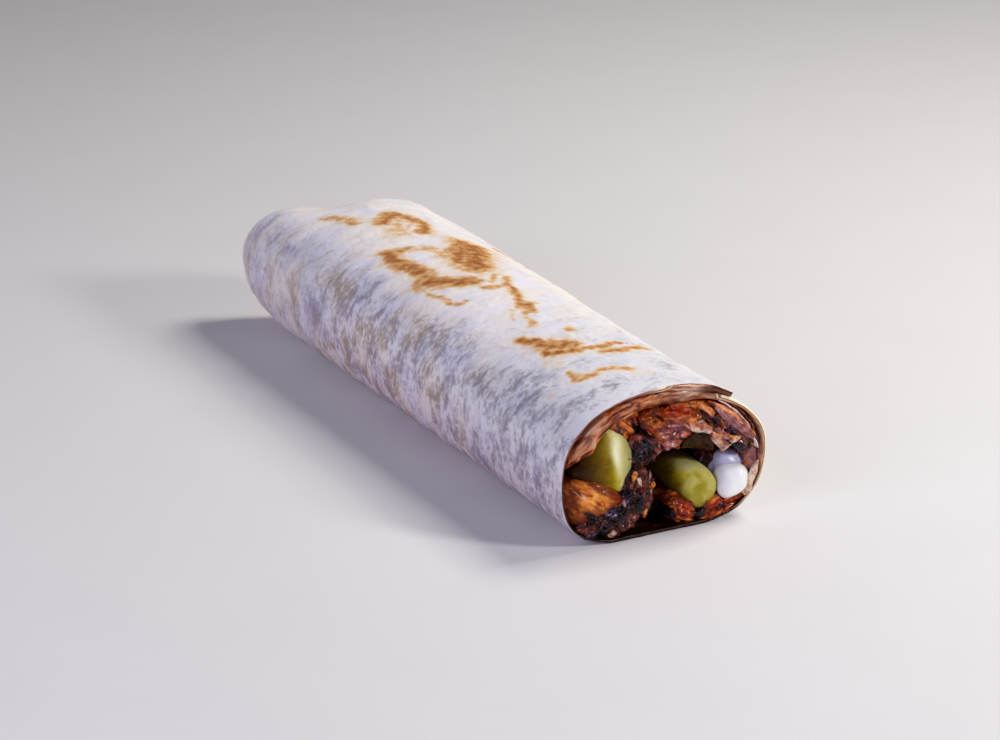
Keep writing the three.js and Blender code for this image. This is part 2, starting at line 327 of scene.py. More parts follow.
# %% The finish helper
class Finish:
    """A material whose nodes are added with one short call each."""

    def __init__(self, name):
        self.material = bpy.data.materials.new(name)
        self.material.use_nodes = True
        self.tree = self.material.node_tree
        self.shader = self.tree.nodes["Principled BSDF"]

    def link(self, source, socket):
        """Links an output to a socket, or sets the socket to a plain value."""
        if isinstance(source, bpy.types.NodeSocket):
            self.tree.links.new(source, socket)
        elif socket.type == "RGBA":
            socket.default_value = (*source, 1.0)
        else:
            socket.default_value = source

    def add(self, kind, inputs=None, **settings):
        """Adds a node, with its settings and what goes into its sockets."""
        node = self.tree.nodes.new(kind)
        for key, value in settings.items():
            setattr(node, key, value)
        for key, value in (inputs or {}).items():
            self.link(value, node.inputs[key])
        return node

    def place(self):
        """The piece's own coordinates, in metres."""
        return self.add("ShaderNodeTexCoord").outputs["Object"]

    def field(self, name):
        """A number that the mesh stores for each point."""
        return self.add("ShaderNodeAttribute", attribute_name=name).outputs["Fac"]

    def field_vector(self, name):
        """A vector that the mesh stores for each point."""
        return self.add("ShaderNodeAttribute", attribute_name=name).outputs["Vector"]

    def stretched(self, vector, scale, turn=(0.0, 0.0, 0.0)):
        """Coordinates turned, and then scaled along each axis."""
        inputs = {"Vector": vector, "Scale": scale, "Rotation": turn}
        return self.add("ShaderNodeMapping", inputs).outputs["Vector"]

    def noise(self, vector, scale, detail=3.0, distortion=0.0):
        """Random hills from 0 to 1."""
        inputs = {"Vector": vector, "Scale": scale, "Detail": detail, "Distortion": distortion}
        return self.add("ShaderNodeTexNoise", inputs).outputs["Fac"]

    def sum(self, operation, first, second=0.0, third=0.0):
        """One step of arithmetic."""
        inputs = {0: first, 1: second, 2: third}
        return self.add("ShaderNodeMath", inputs, operation=operation).outputs[0]

    def times(self, first, second):
        """One value times another."""
        return self.sum("MULTIPLY", first, second)

    def swayed(self, base, pattern, amount):
        """A value moved up and down by a pattern: base + (pattern - 0.5) * amount."""
        return self.sum("MULTIPLY_ADD", self.sum("SUBTRACT", pattern, 0.5), amount, base)

    def together(self, first, share, second, other_share):
        """Two patterns added: first * share + second * other_share."""
        return self.sum("ADD", self.times(first, share), self.times(second, other_share))

    def between(self, value, low, high, first=0.0, second=1.0):
        """An S-shaped rise from first to second while value goes from low to high."""
        inputs = {"Value": value, "From Min": low, "From Max": high, "To Min": first, "To Max": second}
        return self.add("ShaderNodeMapRange", inputs, interpolation_type="SMOOTHSTEP").outputs["Result"]

    def blend(self, share, first, second, how="MIX"):
        """Mixes two colours."""
        node = self.add("ShaderNodeMix", data_type="RGBA", blend_type=how)
        self.link(share, node.inputs[0])
        self.link(first, node.inputs[6])
        self.link(second, node.inputs[7])
        return node.outputs[2]

    def over(self, name, base, tint):
        """Lays a colour over another as strongly as the field of that name says."""
        return self.blend(self.field(name), base, tint)

    def ramp(self, value, stops):
        """Colours along a scale: pairs of a place from 0 to 1 and a colour."""
        node = self.add("ShaderNodeValToRGB", {"Fac": value})
        elements = node.color_ramp.elements
        while len(elements) < len(stops):
            elements.new(0.5)
        for element, (position, colour) in zip(elements, stops):
            element.position = position
            element.color = (*colour, 1.0)
        return node.outputs["Color"]

    def bump(self, height, depth):
        """Small relief: height runs from 0 to 1 and depth is in millimetres."""
        inputs = {"Height": height, "Distance": depth * MM, "Strength": 1.0}
        return self.add("ShaderNodeBump", inputs).outputs["Normal"]

    def set(self, **sockets):
        """Sets or links sockets of the shader: underscores stand for spaces."""
        for key, value in sockets.items():
            self.link(value, self.shader.inputs[key.replace("_", " ")])
        return self.material

# %% [markdown]
# ## The stage
#
# A pale table and a few large soft lights. The main light comes from the upper
# right, so the top of the roll is bright and its left side lies in a cool shade.
# A weaker, slightly lavender light fills that shade, and a low one from the front
# right reaches into the cut end.

# %% Table and lights
TABLE_HALF = 3.0


def make_table():
    """A flat square, which is no part of the wrap."""
    mesh = bpy.data.meshes.new("table")
    corners = [(-1, -1, 0), (1, -1, 0), (1, 1, 0), (-1, 1, 0)]
    mesh.from_pydata([Vector(corner) * TABLE_HALF for corner in corners], [], [(0, 1, 2, 3)])
    table = bpy.data.objects.new("table", mesh)
    bpy.context.scene.collection.objects.link(table)
    finish = Finish("table_top")
    grain = finish.noise(finish.place(), 30.0, 2.0)
    colour = finish.blend(grain, (0.80, 0.79, 0.78), (0.83, 0.82, 0.81))
    table.data.materials.append(finish.set(Base_Color=colour, Roughness=0.7))


def add_light(name, place, aim, size, power, colour):
    """A square area light at a place in metres, turned towards another."""
    light = bpy.data.lights.new(name, "AREA")
    light.size = size
    light.energy = power
    light.color = colour
    holder = bpy.data.objects.new(name, light)
    bpy.context.scene.collection.objects.link(holder)
    holder.location = place
    holder.rotation_euler = (Vector(aim) - Vector(place)).to_track_quat("-Z", "Y").to_euler()


def light_world(colour, strength):
    """The same soft light from every side."""
    world = bpy.data.worlds.new("studio")
    world.use_nodes = True
    background = world.node_tree.nodes["Background"]
    background.inputs["Color"].default_value = (*colour, 1.0)
    background.inputs["Strength"].default_value = strength
    bpy.context.scene.world = world


make_table()
add_light("key", (0.50, -0.02, 0.72), (0.0, 0.0, 0.02), 0.30, 4.5, (1.0, 0.955, 0.905))
add_light("shade_fill", (-0.75, -0.30, 0.40), (0.0, 0.0, 0.02), 0.6, 3.5, (0.77, 0.75, 1.0))
add_light("cut_fill", (0.46, -0.66, 0.42), (0.0, -0.11, 0.02), 0.14, 3.3, (1.0, 0.98, 0.98))
light_world((0.90, 0.88, 1.0), 0.12)
bpy.context.scene.view_settings.view_transform = "Standard"

# %% [markdown]
# ## The form of the roll
#
# The roll's section is a squared oval, with its own squareness in each quarter, and
# pressed flat where it lies on the table. Its sizes change along the roll, its far
# end runs askew, and there the bread rounds over and closes in one crease. These
# are the same rules as in the CAD model.

# %% The roll's sizes
ROLL_LENGTH = 210.0
CUT_SIZE = np.array([66.0, 44.5])
FOLDED_SIZE = np.array([72.8, 47.8])
END_SKEW = np.tan(np.radians(-22.7))
FOOT_SINK = 0.6
SQUARENESS = (1.83, 2.25, 3.15, 2.85)
SIDE_ROUNDING = (0.165, 22.7)
TOP_ROUNDING = (0.5, 33.0)
CREASE_ACROSS = 0.24
CREASE_UPWARD = 0.998
CREASE_SINK = 4.2


def rounding(from_end, length):
    """0 away from the folded end, rising to 1 at it along a quarter circle."""
    rise = np.clip(1.0 - from_end / length, 0.0, 1.0)
    return 1.0 - np.sqrt(1.0 - rise**2)


def roll_size(s):
    """Half width, half height and middle height, a share s of the way along."""
    from_end = ROLL_LENGTH * (1.0 - s)
    half_width = mix(CUT_SIZE[0], FOLDED_SIZE[0], s) / 2
    half_height = mix(CUT_SIZE[1], FOLDED_SIZE[1], s) / 2
    narrowed = half_width * (1.0 - SIDE_ROUNDING[0] * rounding(from_end, SIDE_ROUNDING[1]))
    lowered = half_height * (1.0 - TOP_ROUNDING[0] * rounding(from_end, TOP_ROUNDING[1]))
    return narrowed, lowered, half_height - FOOT_SINK


for end, s in (("cut", 0.0), ("folded end", 1.0)):
    print("half width, half height and middle at the", end, np.round(roll_size(s), 1))

# %% The roll's outside
def squareness(angle):
    """The squareness of the quarter that an angle lies in."""
    quarter = np.floor(np.mod(angle, 2 * np.pi) / (np.pi / 2)).astype(int) % 4
    return np.array(SQUARENESS)[quarter]


def oval_reach(angle, half_width, half_height, power):
    """How far a squared oval reaches: the power mean of its two half sizes."""
    across = np.abs(np.cos(angle)) / half_width
    upward = np.abs(np.sin(angle)) / half_height
    return (across**power + upward**power) ** (-1.0 / power)


def in_place(x, z, s):
    """Points across and up in the section, put in their place along the roll."""
    y = ROLL_LENGTH * (s - 0.5) + s * END_SKEW * x
    return np.stack(np.broadcast_arrays(x, y, z), axis=-1)


def roll_surface(angle, way):
    """The roll's outside. way runs from 0 at the cut to 1 at the folded end, and
    then on to 2, while the end's outline is drawn in to the crease across it."""
    s = np.minimum(way, 1.0)
    closing = np.clip(way - 1.0, 0.0, 1.0)
    half_width, half_height, middle = roll_size(s)
    reach = oval_reach(angle, half_width, half_height, squareness(angle))
    x = reach * np.cos(angle) * (1.0 - CREASE_ACROSS * closing)
    z = middle + reach * np.sin(angle) * (1.0 - CREASE_UPWARD * np.sin(closing * np.pi / 2))
    points = in_place(x, np.maximum(z, 0.0), s)
    points[..., 1] -= CREASE_SINK * closing**3
    return points


def roll_normals(angle, way):
    """The outward direction, from two small steps: one round and one along."""
    step = 0.002
    around = roll_surface(angle + step, way) - roll_surface(angle - step, way)
    along = roll_surface(angle, way + step) - roll_surface(angle, way - step)
    normal = np.cross(along, around)
    return normal / np.linalg.norm(normal, axis=-1, keepdims=True)


def measure_footprint():
    """Where the middle of the footprint lies. The CAD model has its origin there."""
    angle, way = np.meshgrid(np.linspace(0, 2 * np.pi, 721), np.linspace(0.0, 1.0, 1001))
    outside = roll_surface(angle, way).reshape(-1, 3)
    return (outside.min(0) + outside.max(0)) / 2 * np.array([1.0, 1.0, 0.0])


FOOTPRINT = measure_footprint()
print("footprint's middle before the shift:", FOOTPRINT.round(2))

# %% [markdown]
# ## The flatbread: one rolled sheet
#
# The bread is a single sheet. Its grid runs along the outer face from the free edge
# of the flap, nearly twice round to the hidden tail, and back along the inner face.
# A shell with one wall would be simpler, but at the cut both layers show, and so
# does the step under the flap. Columns are close together on top, where the toasted
# marks need them, and far apart where nothing is seen.

# %% The sheet's rows and columns
BREAD_THICKNESS = 1.2
SOAKED_THICKNESS = 2.6
LAYER_PITCH = 1.5
FREE_EDGE = np.radians(39.5)
TURNS = 1.925
STEP_UNDER_FLAP = 0.8
CORNER_DRAWN_OUT = np.radians(2.6)
FINE_TURN = 0.30
# How many columns lie on the finely divided part, on the rest of the first turn and on
# the hidden layer, and how many rows lie along the roll, over its rounding and down to
# the crease
COLUMNS = (70, 88, 40)
ROWS = (194, 24, 15)


def sheet_columns():
    """Turns from the free edge for each column, out along the outer face and back
    along the inner one, and which face each column is on, 0 outside and 1 inside."""
    out = np.concatenate([
        [0.0, 0.0012],
        np.linspace(0.003, FINE_TURN, COLUMNS[0], endpoint=False),
        np.linspace(FINE_TURN, 1.0, COLUMNS[1], endpoint=False),
        np.linspace(1.0, TURNS, COLUMNS[2]),
    ])
    turn = np.concatenate([out, out[::-1]])
    side = np.repeat([0.0, 1.0], len(out))
    return turn, side


def sheet_rows():
    """How far along the roll each row lies: close together at the cut edge, even
    along the roll, following the rounding, and on to the crease of the end."""
    rounded_from = 1.0 - TOP_ROUNDING[1] / ROLL_LENGTH
    near = np.array([0.0, 0.3, 0.8, 1.5]) / ROLL_LENGTH
    even = np.linspace(2.2 / ROLL_LENGTH, rounded_from, ROWS[0], endpoint=False)
    over = 1.0 - (1.0 - rounded_from) * (1.0 - np.sin(np.linspace(0, np.pi / 2, ROWS[1])))
    closing = 1.0 + np.linspace(0, 1, ROWS[2])[1:]
    return np.concatenate([near, even, over, closing])


turn, side = sheet_columns()
way = sheet_rows()
print("sheet grid:", len(way), "rows of", len(turn), "columns")

# %% [markdown]
# The relief is real: soft sags, creases that run round the roll, small blisters, a
# dimple and one deep crease near the folded end. It moves both faces of the sheet
# alike, so the bread keeps its thickness and the layers stay nested.

# %% The sheet's relief
# Creases and dimples: along in mm, angle in degrees, their half sizes in both, depth in mm
DENTS = (
    (146, 166, 3.6, 26, 1.1), (136, 150, 2.4, 14, 0.5), (32.5, 143, 3, 5, 1), (26, 140, 2, 4, 0.5),
    (9, 126, 2, 12, 0.4), (88, 165, 2.2, 22, 0.5), (58, 172, 2, 25, 0.45), (171, 150, 3, 20, 0.5),
    (120, 20, 3, 26, 0.6), (64, 8, 2.6, 30, 0.6), (168, 30, 3, 24, 0.7), (188, 122, 14, 24, 1.7),
    (204, 104, 11, 30, 2.3), (190, 60, 10, 12, -1.2), (166, 47, 24, 12, 1.3), (202, 150, 8, 16, -1),
    (140, 60, 45, 18, 0.8), (0, 12, 20, 30, -1.5), (0, 178, 14, 24, -0.7),
)
DENT_SLANT = 0.04
PATTERN_RADIUS = 33.0
# How long creases are round the roll, as against their width along it
CREASE_STRETCH = 4.5
# Each kind of relief: how high it is and how far apart its hills lie, in mm, and its seed
SAGS = (0.45, 34.0, 11)
CREASES = (0.25, 9.5, 23)
BLISTERS = (0.42, 6.5, 37)
GRAIN = (0.10, 3.0, 41)
# The relief's middle lies this far out, and the creases double in depth along this stretch
SAG_OFFSET = 0.3
SLACK_STRETCH = (90.0, 190.0)


def around_points(angle, along, stretch):
    """Coordinates that make hills long round the roll: the angle is wrapped on a
    small circle, so that a pattern closes on itself."""
    circle = PATTERN_RADIUS / stretch
    return np.stack([circle * np.cos(angle), along, circle * np.sin(angle)], axis=-1)


def dent_depth(angle, along):
    """Each dent is a smooth bowl, long one way and short the other."""
    depth = np.zeros_like(along)
    for place, direction, half_along, half_angle, deep in DENTS:
        away = wrapped(np.degrees(angle) - direction, -180.0)
        slanted = along + DENT_SLANT * away
        depth += deep * bell(slanted, place, half_along) * bell(away, 0.0, half_angle)
    return depth


def sheet_relief(angle, along):
    """Millimetres outwards: sags, creases round the roll and blisters, less dents."""
    wide = around_points(angle, along, 1.0)
    streaked = around_points(angle, along, CREASE_STRETCH)
    sags = SAG_OFFSET + SAGS[0] * rough_hills(wide, *SAGS[1:], 2)
    slack = CREASES[0] * (1.0 + smooth(*SLACK_STRETCH, along))
    creases = -slack * np.maximum(ridges(streaked, *CREASES[1:], 2) - 0.25, 0.0)
    blisters = BLISTERS[0] * np.maximum(rough_hills(wide, *BLISTERS[1:], 2) - 0.2, 0.0)
    grain = GRAIN[0] * rough_hills(wide, *GRAIN[1:], 2)
    return sags + creases + blisters + grain - dent_depth(angle, along)


def layer_inset(turn):
    """How deep the outer face lies: one pitch more for each whole turn, and a soft
    step in the last fifth of a turn, where the sheet slips under its own flap."""
    whole = np.floor(turn)
    return LAYER_PITCH * (whole + smooth(STEP_UNDER_FLAP, 1.0, turn - whole))


print("depth of the second layer:", layer_inset(1.5), "mm, dents:", len(DENTS))

# %% [markdown]
# The two layers part a little at the cut, where the inner one is soaked with fat and
# juice and is thicker. A knife leaves the edge slightly ragged.

# %% Where the sheet sags, thickens and tears
# The turn from which on the sheet is the inner layer
INNER_LAYER_STARTS = (1.0, 1.08)
# Stretches round the cut in degrees from the right, each from one range to another
OVER_TOP = ((52.0, 80.0), (158.0, 172.0))
LEFT_HALF = ((100.0, 125.0), (215.0, 240.0))
LOW_LEFT = ((171.0, 183.0), (286.0, 312.0))
# Millimetres: how much thicker the inner layer is over the top and on the left, and how
# far its cut sits back at the low left, on the right and everywhere
THICKER = (1.4, 1.2)
SET_BACK = (9.0, 2.6, 0.4)
FLAP_LIFT = 0.9


def sag_at_cut(degrees, turns):
    """The inner layer hangs away from the outer one over the top left, in two bells."""
    top_left = 0.5 * bell(degrees, 122.0, 42.0) + 1.0 * bell(degrees, 158.0, 20.0)
    return top_left * smooth(*INNER_LAYER_STARTS, turns)


def thick_top(degrees, turns):
    """How much thicker the soaked inner layer is over the top and down the left, in mm."""
    thicker = THICKER[0] * plateau(degrees, *OVER_TOP) + THICKER[1] * bell(degrees, 152.0, 16.0)
    return thicker * smooth(*INNER_LAYER_STARTS, turns)


def flap_lift(turns, along):
    """The flap's corner stands up a little at the cut."""
    return FLAP_LIFT * bell(turns, 0.0, 0.11) * np.exp(-along / 22.0)


def left_rim(degrees, turns):
    """1 on the left half of the outer layer, where its cut is thin."""
    return plateau(degrees, *LEFT_HALF) * (turns < 0.9)


def recess(degrees, turns):
    """How far the inner layer's cut sits back, in mm: on the left and underneath it
    is torn short, and the meat lies against the outer layer."""
    low_left, right, everywhere = SET_BACK
    back = low_left * plateau(degrees, *LOW_LEFT) + everywhere
    back = back + right * fall(22.0, 40.0, np.abs(wrapped(degrees + 12.0, -180.0)))
    return back * smooth(0.93, 1.0, turns)


def ragged_cut(angle, turns):
    """A little in and out along the cut, more on the soaked layer."""
    ring = around_points(angle, turns * 40.0, 1.0)
    coarse = hills(ring, 9.0, 71) * 0.35 + hills(ring, 2.6, 72) * 0.22
    soaked = smooth(0.95, 1.05, turns)
    return coarse * mix(0.7, 1.6, soaked) + 0.25 * soaked


print("the inner layer's cut sits back by up to", recess(np.arange(360.0), 1.0).max(), "mm")

# %% The sheet's points
# In mm: how far what happens at the cut reaches along the roll, how far the flap's drawn
# out corner does, how round the cut's edges are and how much thicker the flap's edge is
CUT_EFFECT_REACH = 16.0
CORNER_REACH = 12.0
EDGE_ROUND = 0.14
FLAP_THICKER = 2.0
# As shares of the roll: from where the hidden rows draw together, and over what length
HIDDEN_FROM = 0.85
HIDDEN_LENGTH = 0.1
# In turns: where the flap thins to its edge, and where the sheet goes out of sight
FLAP_TAPER = (0.0, 0.05)
HIDDEN_TURNS = (1.0, 1.12)
# The share of its thickness that the flap's edge loses, along the roll and at the cut
THINNED = (0.72, 0.50)


def sheet_grid():
    """The sheet's points: the roll's outside, less the layer's depth and thickness,
    plus the relief, all along the outward direction. Hidden columns stop short of
    the folded end."""
    turns, rows_way = np.meshgrid(turn, way)
    inner = np.broadcast_to(side, turns.shape)
    past = np.maximum(rows_way - HIDDEN_FROM, 0.0)
    short_way = np.minimum(rows_way, HIDDEN_FROM) + HIDDEN_LENGTH * (1.0 - np.exp(-past * 4.0))
    ways = mix(rows_way, short_way, smooth(*HIDDEN_TURNS, turns))
    near_corner = bell(turns, 0.0, 0.06) * np.exp(-ways * ROLL_LENGTH / CORNER_REACH)
    angle = FREE_EDGE + 2 * np.pi * turns - CORNER_DRAWN_OUT * near_corner
    degrees = in_degrees(angle)
    ways = ways + recess(degrees, turns) / ROLL_LENGTH * np.maximum(1.0 - ways, 0.0) ** 8
    along = np.minimum(ways, 1.0) * ROLL_LENGTH
    at_cut = np.exp(-np.minimum(rows_way, 1.0) * ROLL_LENGTH / CUT_EFFECT_REACH)

    soaked = mix(BREAD_THICKNESS, SOAKED_THICKNESS, smooth(0.95, 1.06, turns) * at_cut)
    soaked = soaked + (thick_top(degrees, turns) + FLAP_THICKER * bell(turns, 0.0, 0.13)) * at_cut
    soaked = soaked * (1.0 - 0.5 * left_rim(degrees, turns) * at_cut)
    thinned = mix(*THINNED, at_cut) * fall(*FLAP_TAPER, turns)
    inset = layer_inset(turns) + sag_at_cut(degrees, turns) * at_cut
    inset = inset + soaked * thinned * mix(1.0, 0.45, at_cut)
    uneven = 1.0 + 0.18 * hills(around_points(angle, along, 1.0), 6.0, 5)
    thickness = soaked * (1.0 - thinned) * uneven
    edge_round = EDGE_ROUND * fall(0.0, 0.8, along)
    depth = inset + mix(edge_round, thickness - edge_round, inner)

    relief = sheet_relief(angle, along) * mix(0.5, 1.0, smooth(0.0, 40.0, along))
    relief = (relief + flap_lift(turns, along)) * fall(1.2, 2.0, ways)
    points = roll_surface(angle, ways) + roll_normals(angle, ways) * (relief - depth)[..., None]
    points[..., 1] += ragged_cut(angle, turns) * np.exp(-along / 2.0)
    crease_height = roll_size(1.0)[2]
    height = mix(points[..., 2], crease_height, np.clip(ways - 1.0, 0.0, 1.0) ** 3)
    floor = np.maximum(depth * smooth(0.0, 3.0, depth + 2.0), 0.0)
    points[..., 2] = np.maximum(height, floor)
    return points, angle, along, turns


sheet_points, sheet_angle, sheet_along, sheet_turns = sheet_grid()
print("sheet spans", np.ptp(sheet_points.reshape(-1, 3), axis=0).round(1), "mm")

# %% [markdown]
# ## Stains at the cut
#
# At the cut the inner layer shows as a stained band. Pale dabs are partly dry crumb and
# partly painted highlights: glossy streaks along the band and the lit rim on the right.
# Dark dabs are partly juice that ran and partly painted shade in the gaps under the band.
# Each is an oval dab, placed one by one: noise alone would not put them where they
# belong. Dabs also mark the meat further on.

# %% Dabs on the cut
def dab_field(dabs, points):
    """The strongest dab at each point: a bell over an oval across and up the cut."""
    strongest = np.zeros(points.shape[:-1])
    for across, upward, half_across, half_upward, tilt, strength in dabs:
        dx, dz = turned(points[..., 0] - across, points[..., 2] - upward, -tilt)
        oval = bell(dx, 0.0, half_across) * bell(dz, 0.0, half_upward)
        strongest = np.maximum(strongest, strength * oval)
    return strongest


# Each dab: across, up, its half sizes, its tilt in degrees and its strength
# Pale dabs: dry crumb and painted highlights, the glossy streaks along the band at the top and the left, and
# the lit pale rim on the right
BAND_PALE = (
    (-0.5, 40.4, 8.6, 0.8, 0, 1), (-24, 34.8, 6, 0.45, 44, 0.5), (-29.6, 29, 2.6, 0.35, 62, 0.35),
    (8, 41.4, 5, 1.2, -6, 1), (-14.6, 39.6, 4, 0.4, 22, 0.5), (31.6, 27.5, 5, 1.6, -64, 1),
    (33.2, 13, 6, 1.4, 84, 0.8), (30, 5.6, 4, 2, 44, 1.2), (25, 34.6, 3, 0.9, -40, 0.6),
    (31.4, 8.6, 4, 2.2, 62, 1.2), (32.8, 20.6, 5.5, 1.4, -82, 0.9),
)
# Dark dabs: juice stains, and painted shade in the gaps under the band
BAND_DARK = (
    (-17, 35.2, 5, 0.8, 32, 1), (-25.6, 29.4, 5, 0.8, 48, 0.9), (0, 38.3, 8, 0.7, 2, 1),
    (-31.2, 24.2, 2, 1.2, 0, 0.9), (-26.6, 30.4, 8, 1.6, 50, 0.75), (-16, 37.2, 5, 1.2, 26, 0.6),
    (14.8, 39.2, 4.6, 1.4, -17, 1), (-9.4, 37.2, 3, 0.6, 16, 0.8),
)
print("dabs on the band at the cut:", len(BAND_PALE), "pale and", len(BAND_DARK), "dark")

# %% [markdown]
# ## Toasted marks
#
# A hot plate browns the bread where it touches. The marks follow no pattern, so each
# one is given as a stroke with a width: a few points, how wide and how
# brown. The mesh stores how near each point is to a stroke, and the material turns
# that into colour with a ragged edge. Painting them in the material alone would need
# hundreds of nodes.

# %% The strokes
# Each stroke: width in mm, strength, and points of (along in mm, angle in degrees)
TOAST_STROKES = (
    (2.4, 0.85, (150, 92), (154, 86), (160, 85), (166, 89), (169, 95), (165, 103), (161, 110)),
    (4.6, 0.4, (163, 96), (156, 104), (150, 108)),
    (2, 0.55, (166, 123), (172, 125), (179, 131)),
    (4.2, 1, (112, 93), (118, 86), (125, 78), (136, 68)),
    (3.6, 0.85, (119, 98), (126, 91), (134, 80), (140, 72)),
    (2.8, 0.45, (112, 104), (122, 104), (131, 102), (135, 109)),
    (2, 0.75, (136, 119), (137, 125), (138, 130)),
    (2.3, 0.9, (135, 128), (131, 131), (126, 131), (121, 128), (117, 127)),
    (2.6, 0.75, (116, 126), (111, 130), (109, 136)),
    (2.9, 0.95, (109, 128), (105, 122), (102, 117), (101, 110)),
    (1, 0.55, (106, 136), (98, 136), (92, 134), (88, 131)),
    (1.2, 0.5, (88, 126), (89, 125)),
    (1.5, 0.6, (101, 82), (97, 87), (93, 92), (92, 99), (94, 106)),
    (1.5, 0.5, (103, 88), (100, 95), (97, 99)),
    (3.5, 0.26, (110, 82), (104, 92), (99, 96)),
    (1.5, 0.75, (91, 91), (86, 94), (80, 99), (74, 103)),
    (1.8, 0.75, (76, 96), (73, 100), (70, 103)),
    (1, 0.42, (70, 104), (66, 109), (62, 110)),
    (1.3, 0.6, (62, 110), (60, 114)),
    (0.9, 0.4, (74, 110), (67, 117)),
    (1.3, 0.6, (53, 93), (51, 98)),
    (1.2, 0.85, (37, 78), (35, 88), (35, 98), (36, 110)),
    (1.6, 0.75, (33, 63), (31, 74), (30, 84), (31, 96)),
    (1.7, 1, (36, 112), (37, 119), (40, 126)),
    (3, 0.9, (41, 110), (43, 116), (45, 121)),
    (1.6, 0.95, (43, 122), (48, 123), (53, 127)),
    (1.2, 0.62, (25, 129), (20, 130), (19, 120), (20, 112), (18, 103), (16, 97)),
    (1.6, 0.28, (12, 90), (12, 98)),
    (1, 0.35, (32, 129), (36, 132)),
    (2, 0.2, (21, 148), (20, 144)),
    (2.4, 0.8, (152, 30), (144, 20), (136, 22)),
    (3.4, 0.95, (106, 14), (97, 5), (88, 10), (83, 4)),
    (1.3, 0.6, (120, 27), (112, 20), (104, 24), (95, 20)),
    (1.6, 0.7, (58, 22), (50, 8), (43, 12)),
    (2, 0.7, (170, 352), (160, 342), (151, 347)),
    (1.2, 0.55, (36, 338), (30, 348), (22, 345)),
    (1, 0.45, (72, 346), (66, 340)),
    (3.6, 1, (150, 262), (140, 270), (132, 284)),
    (3, 0.95, (110, 256), (100, 266), (96, 280)),
    (3.8, 1, (72, 250), (62, 262), (58, 280)),
    (2.2, 0.9, (34, 272), (26, 286)),
    (2.8, 0.85, (180, 276), (172, 290)),
    (2.2, 0.75, (120, 298), (112, 306)),
)
# Grey smudges: darker crumb where flour and damp met, and painted shade in the creases
# and dimples that the dents make: the same kind of table
SMUDGES = (
    (2, 1.2, (31, 143), (33.5, 144)),
    (1.4, 0.8, (25, 141), (29, 140), (27, 136)),
    (1.6, 0.6, (20, 146), (23, 147)),
    (1.3, 0.6, (8, 124), (11, 126), (9, 132)),
    (1.2, 0.5, (8, 150), (9, 158)),
    (3, 0.6, (146, 142), (144, 156), (143, 172), (147, 186)),
    (4, 0.45, (138, 172), (132, 160), (128, 150)),
    (4, 0.45, (108, 168), (114, 164)),
    (3, 0.4, (76, 160), (82, 156)),
    (2.4, 0.35, (94, 166), (97, 160)),
    (3, 0.4, (122, 182), (127, 184)),
    (3, 0.35, (104, 146), (116, 148)),
    (4, 0.35, (160, 186), (166, 182)),
    (2, 0.4, (34, 184), (38, 196)),
    (1.6, 0.45, (20, 170), (23, 178)),
    (1.6, 0.4, (31, 170), (34, 178)),
    (2.4, 0.4, (30, 112), (26, 104), (27, 96)),
    (2, 0.34, (14, 110), (18, 102)),
    (2.6, 0.3, (56, 92), (62, 84), (60, 74)),
    (2, 0.3, (86, 100), (92, 94)),
    (2.4, 0.35, (60, 150), (66, 156)),
    (3, 0.3, (188, 168), (194, 176)),
)
print("strokes:", len(TOAST_STROKES), "toasted and", len(SMUDGES), "smudged")

# %% Marks from strokes
MM_PER_DEGREE = 0.45


def stroke_distance(along, across, stroke):
    """Millimetres to the nearest point of a stroke, one straight stretch at a time."""
    nearest = np.full(along.shape, 1e3)
    path = np.array(stroke, dtype=float) * (1.0, MM_PER_DEGREE)
    for start, end in zip(path[:-1], path[1:]):
        span = end - start
        share = (along - start[0]) * span[0] + (across - start[1]) * span[1]
        share = np.clip(share / (span @ span), 0.0, 1.0)
        gap = np.hypot(along - start[0] - share * span[0], across - start[1] - share * span[1])
        nearest = np.minimum(nearest, gap)
    return nearest


def strokes_field(table, angle, along, tail):
    """How strongly a table's strokes mark each point. Each stroke is a bell with a
    wider, weaker bell round it, and the strongest counts. The coordinates wander a
    little, so no stroke has a clean edge."""
    ring = around_points(angle, along, 1.0)
    wander = 1.0 * hills(ring, 4.5, 81) + 0.5 * hills(ring, 1.9, 82)
    across = in_degrees(angle) * MM_PER_DEGREE + wander
    strayed = along + 0.8 * hills(ring, 3.6, 83) + 0.4 * hills(ring, 1.6, 84)
    marked = np.zeros(along.shape)
    for width, strength, *stroke in table:
        gap = stroke_distance(strayed, across, stroke) / width
        near = (1.0 - tail) * bell(gap, 0.0, 1.0) + tail * bell(gap, 0.0, 2.4)
        marked = np.maximum(marked, strength * near)
    return marked

# %% Fields for the bread
# How far apart the rolled-out sheet's faces lie, and how long its closed end is, in mm
FACES_APART = 5.0
CREASE_REACH = 16.0
# Stretches round the roll in degrees, each from one range to another: the floured top,
# the low side that lies in shade and is painted darker and pinker, as shade with a warm
# bounce of light, and where the cut's edge is brown, partly as painted shade on the left
# and the bottom
TOP = ((-30.0, 0.0), (134.0, 160.0))
LOW_SIDE = ((160.0, 205.0), (250.0, 270.0))
BROWN_RIM = ((92.0, 108.0), (318.0, 332.0))


def top_share(angle, along):
    """1 on the top, where the flour stayed, and 0 on the sides. The border wanders."""
    ring = around_points(angle, along, 1.0)
    degrees = wrapped(np.degrees(angle), -90.0) + 7.0 * rough_hills(ring, 14.0, 91, 3)
    return plateau(degrees, *TOP)


def flour_field(angle, along):
    """How much of the outside the flour covers, from 0 to 1, less the smudges, which are
    partly darker crumb and partly painted shade in creases and dimples.
    """
    near_cut = 0.62 * fall(30.0, 60.0, along)
    far_end = 0.66 * smooth(140.0, 170.0, along)
    sides = np.maximum.reduce([near_cut, far_end, np.full_like(along, 0.54)])
    on_top = mix(0.90, 1.0, smooth(25.0, 70.0, along))
    return mix(sides, on_top, top_share(angle, along)) - 0.30 * strokes_field(SMUDGES, angle, along, 0.3)


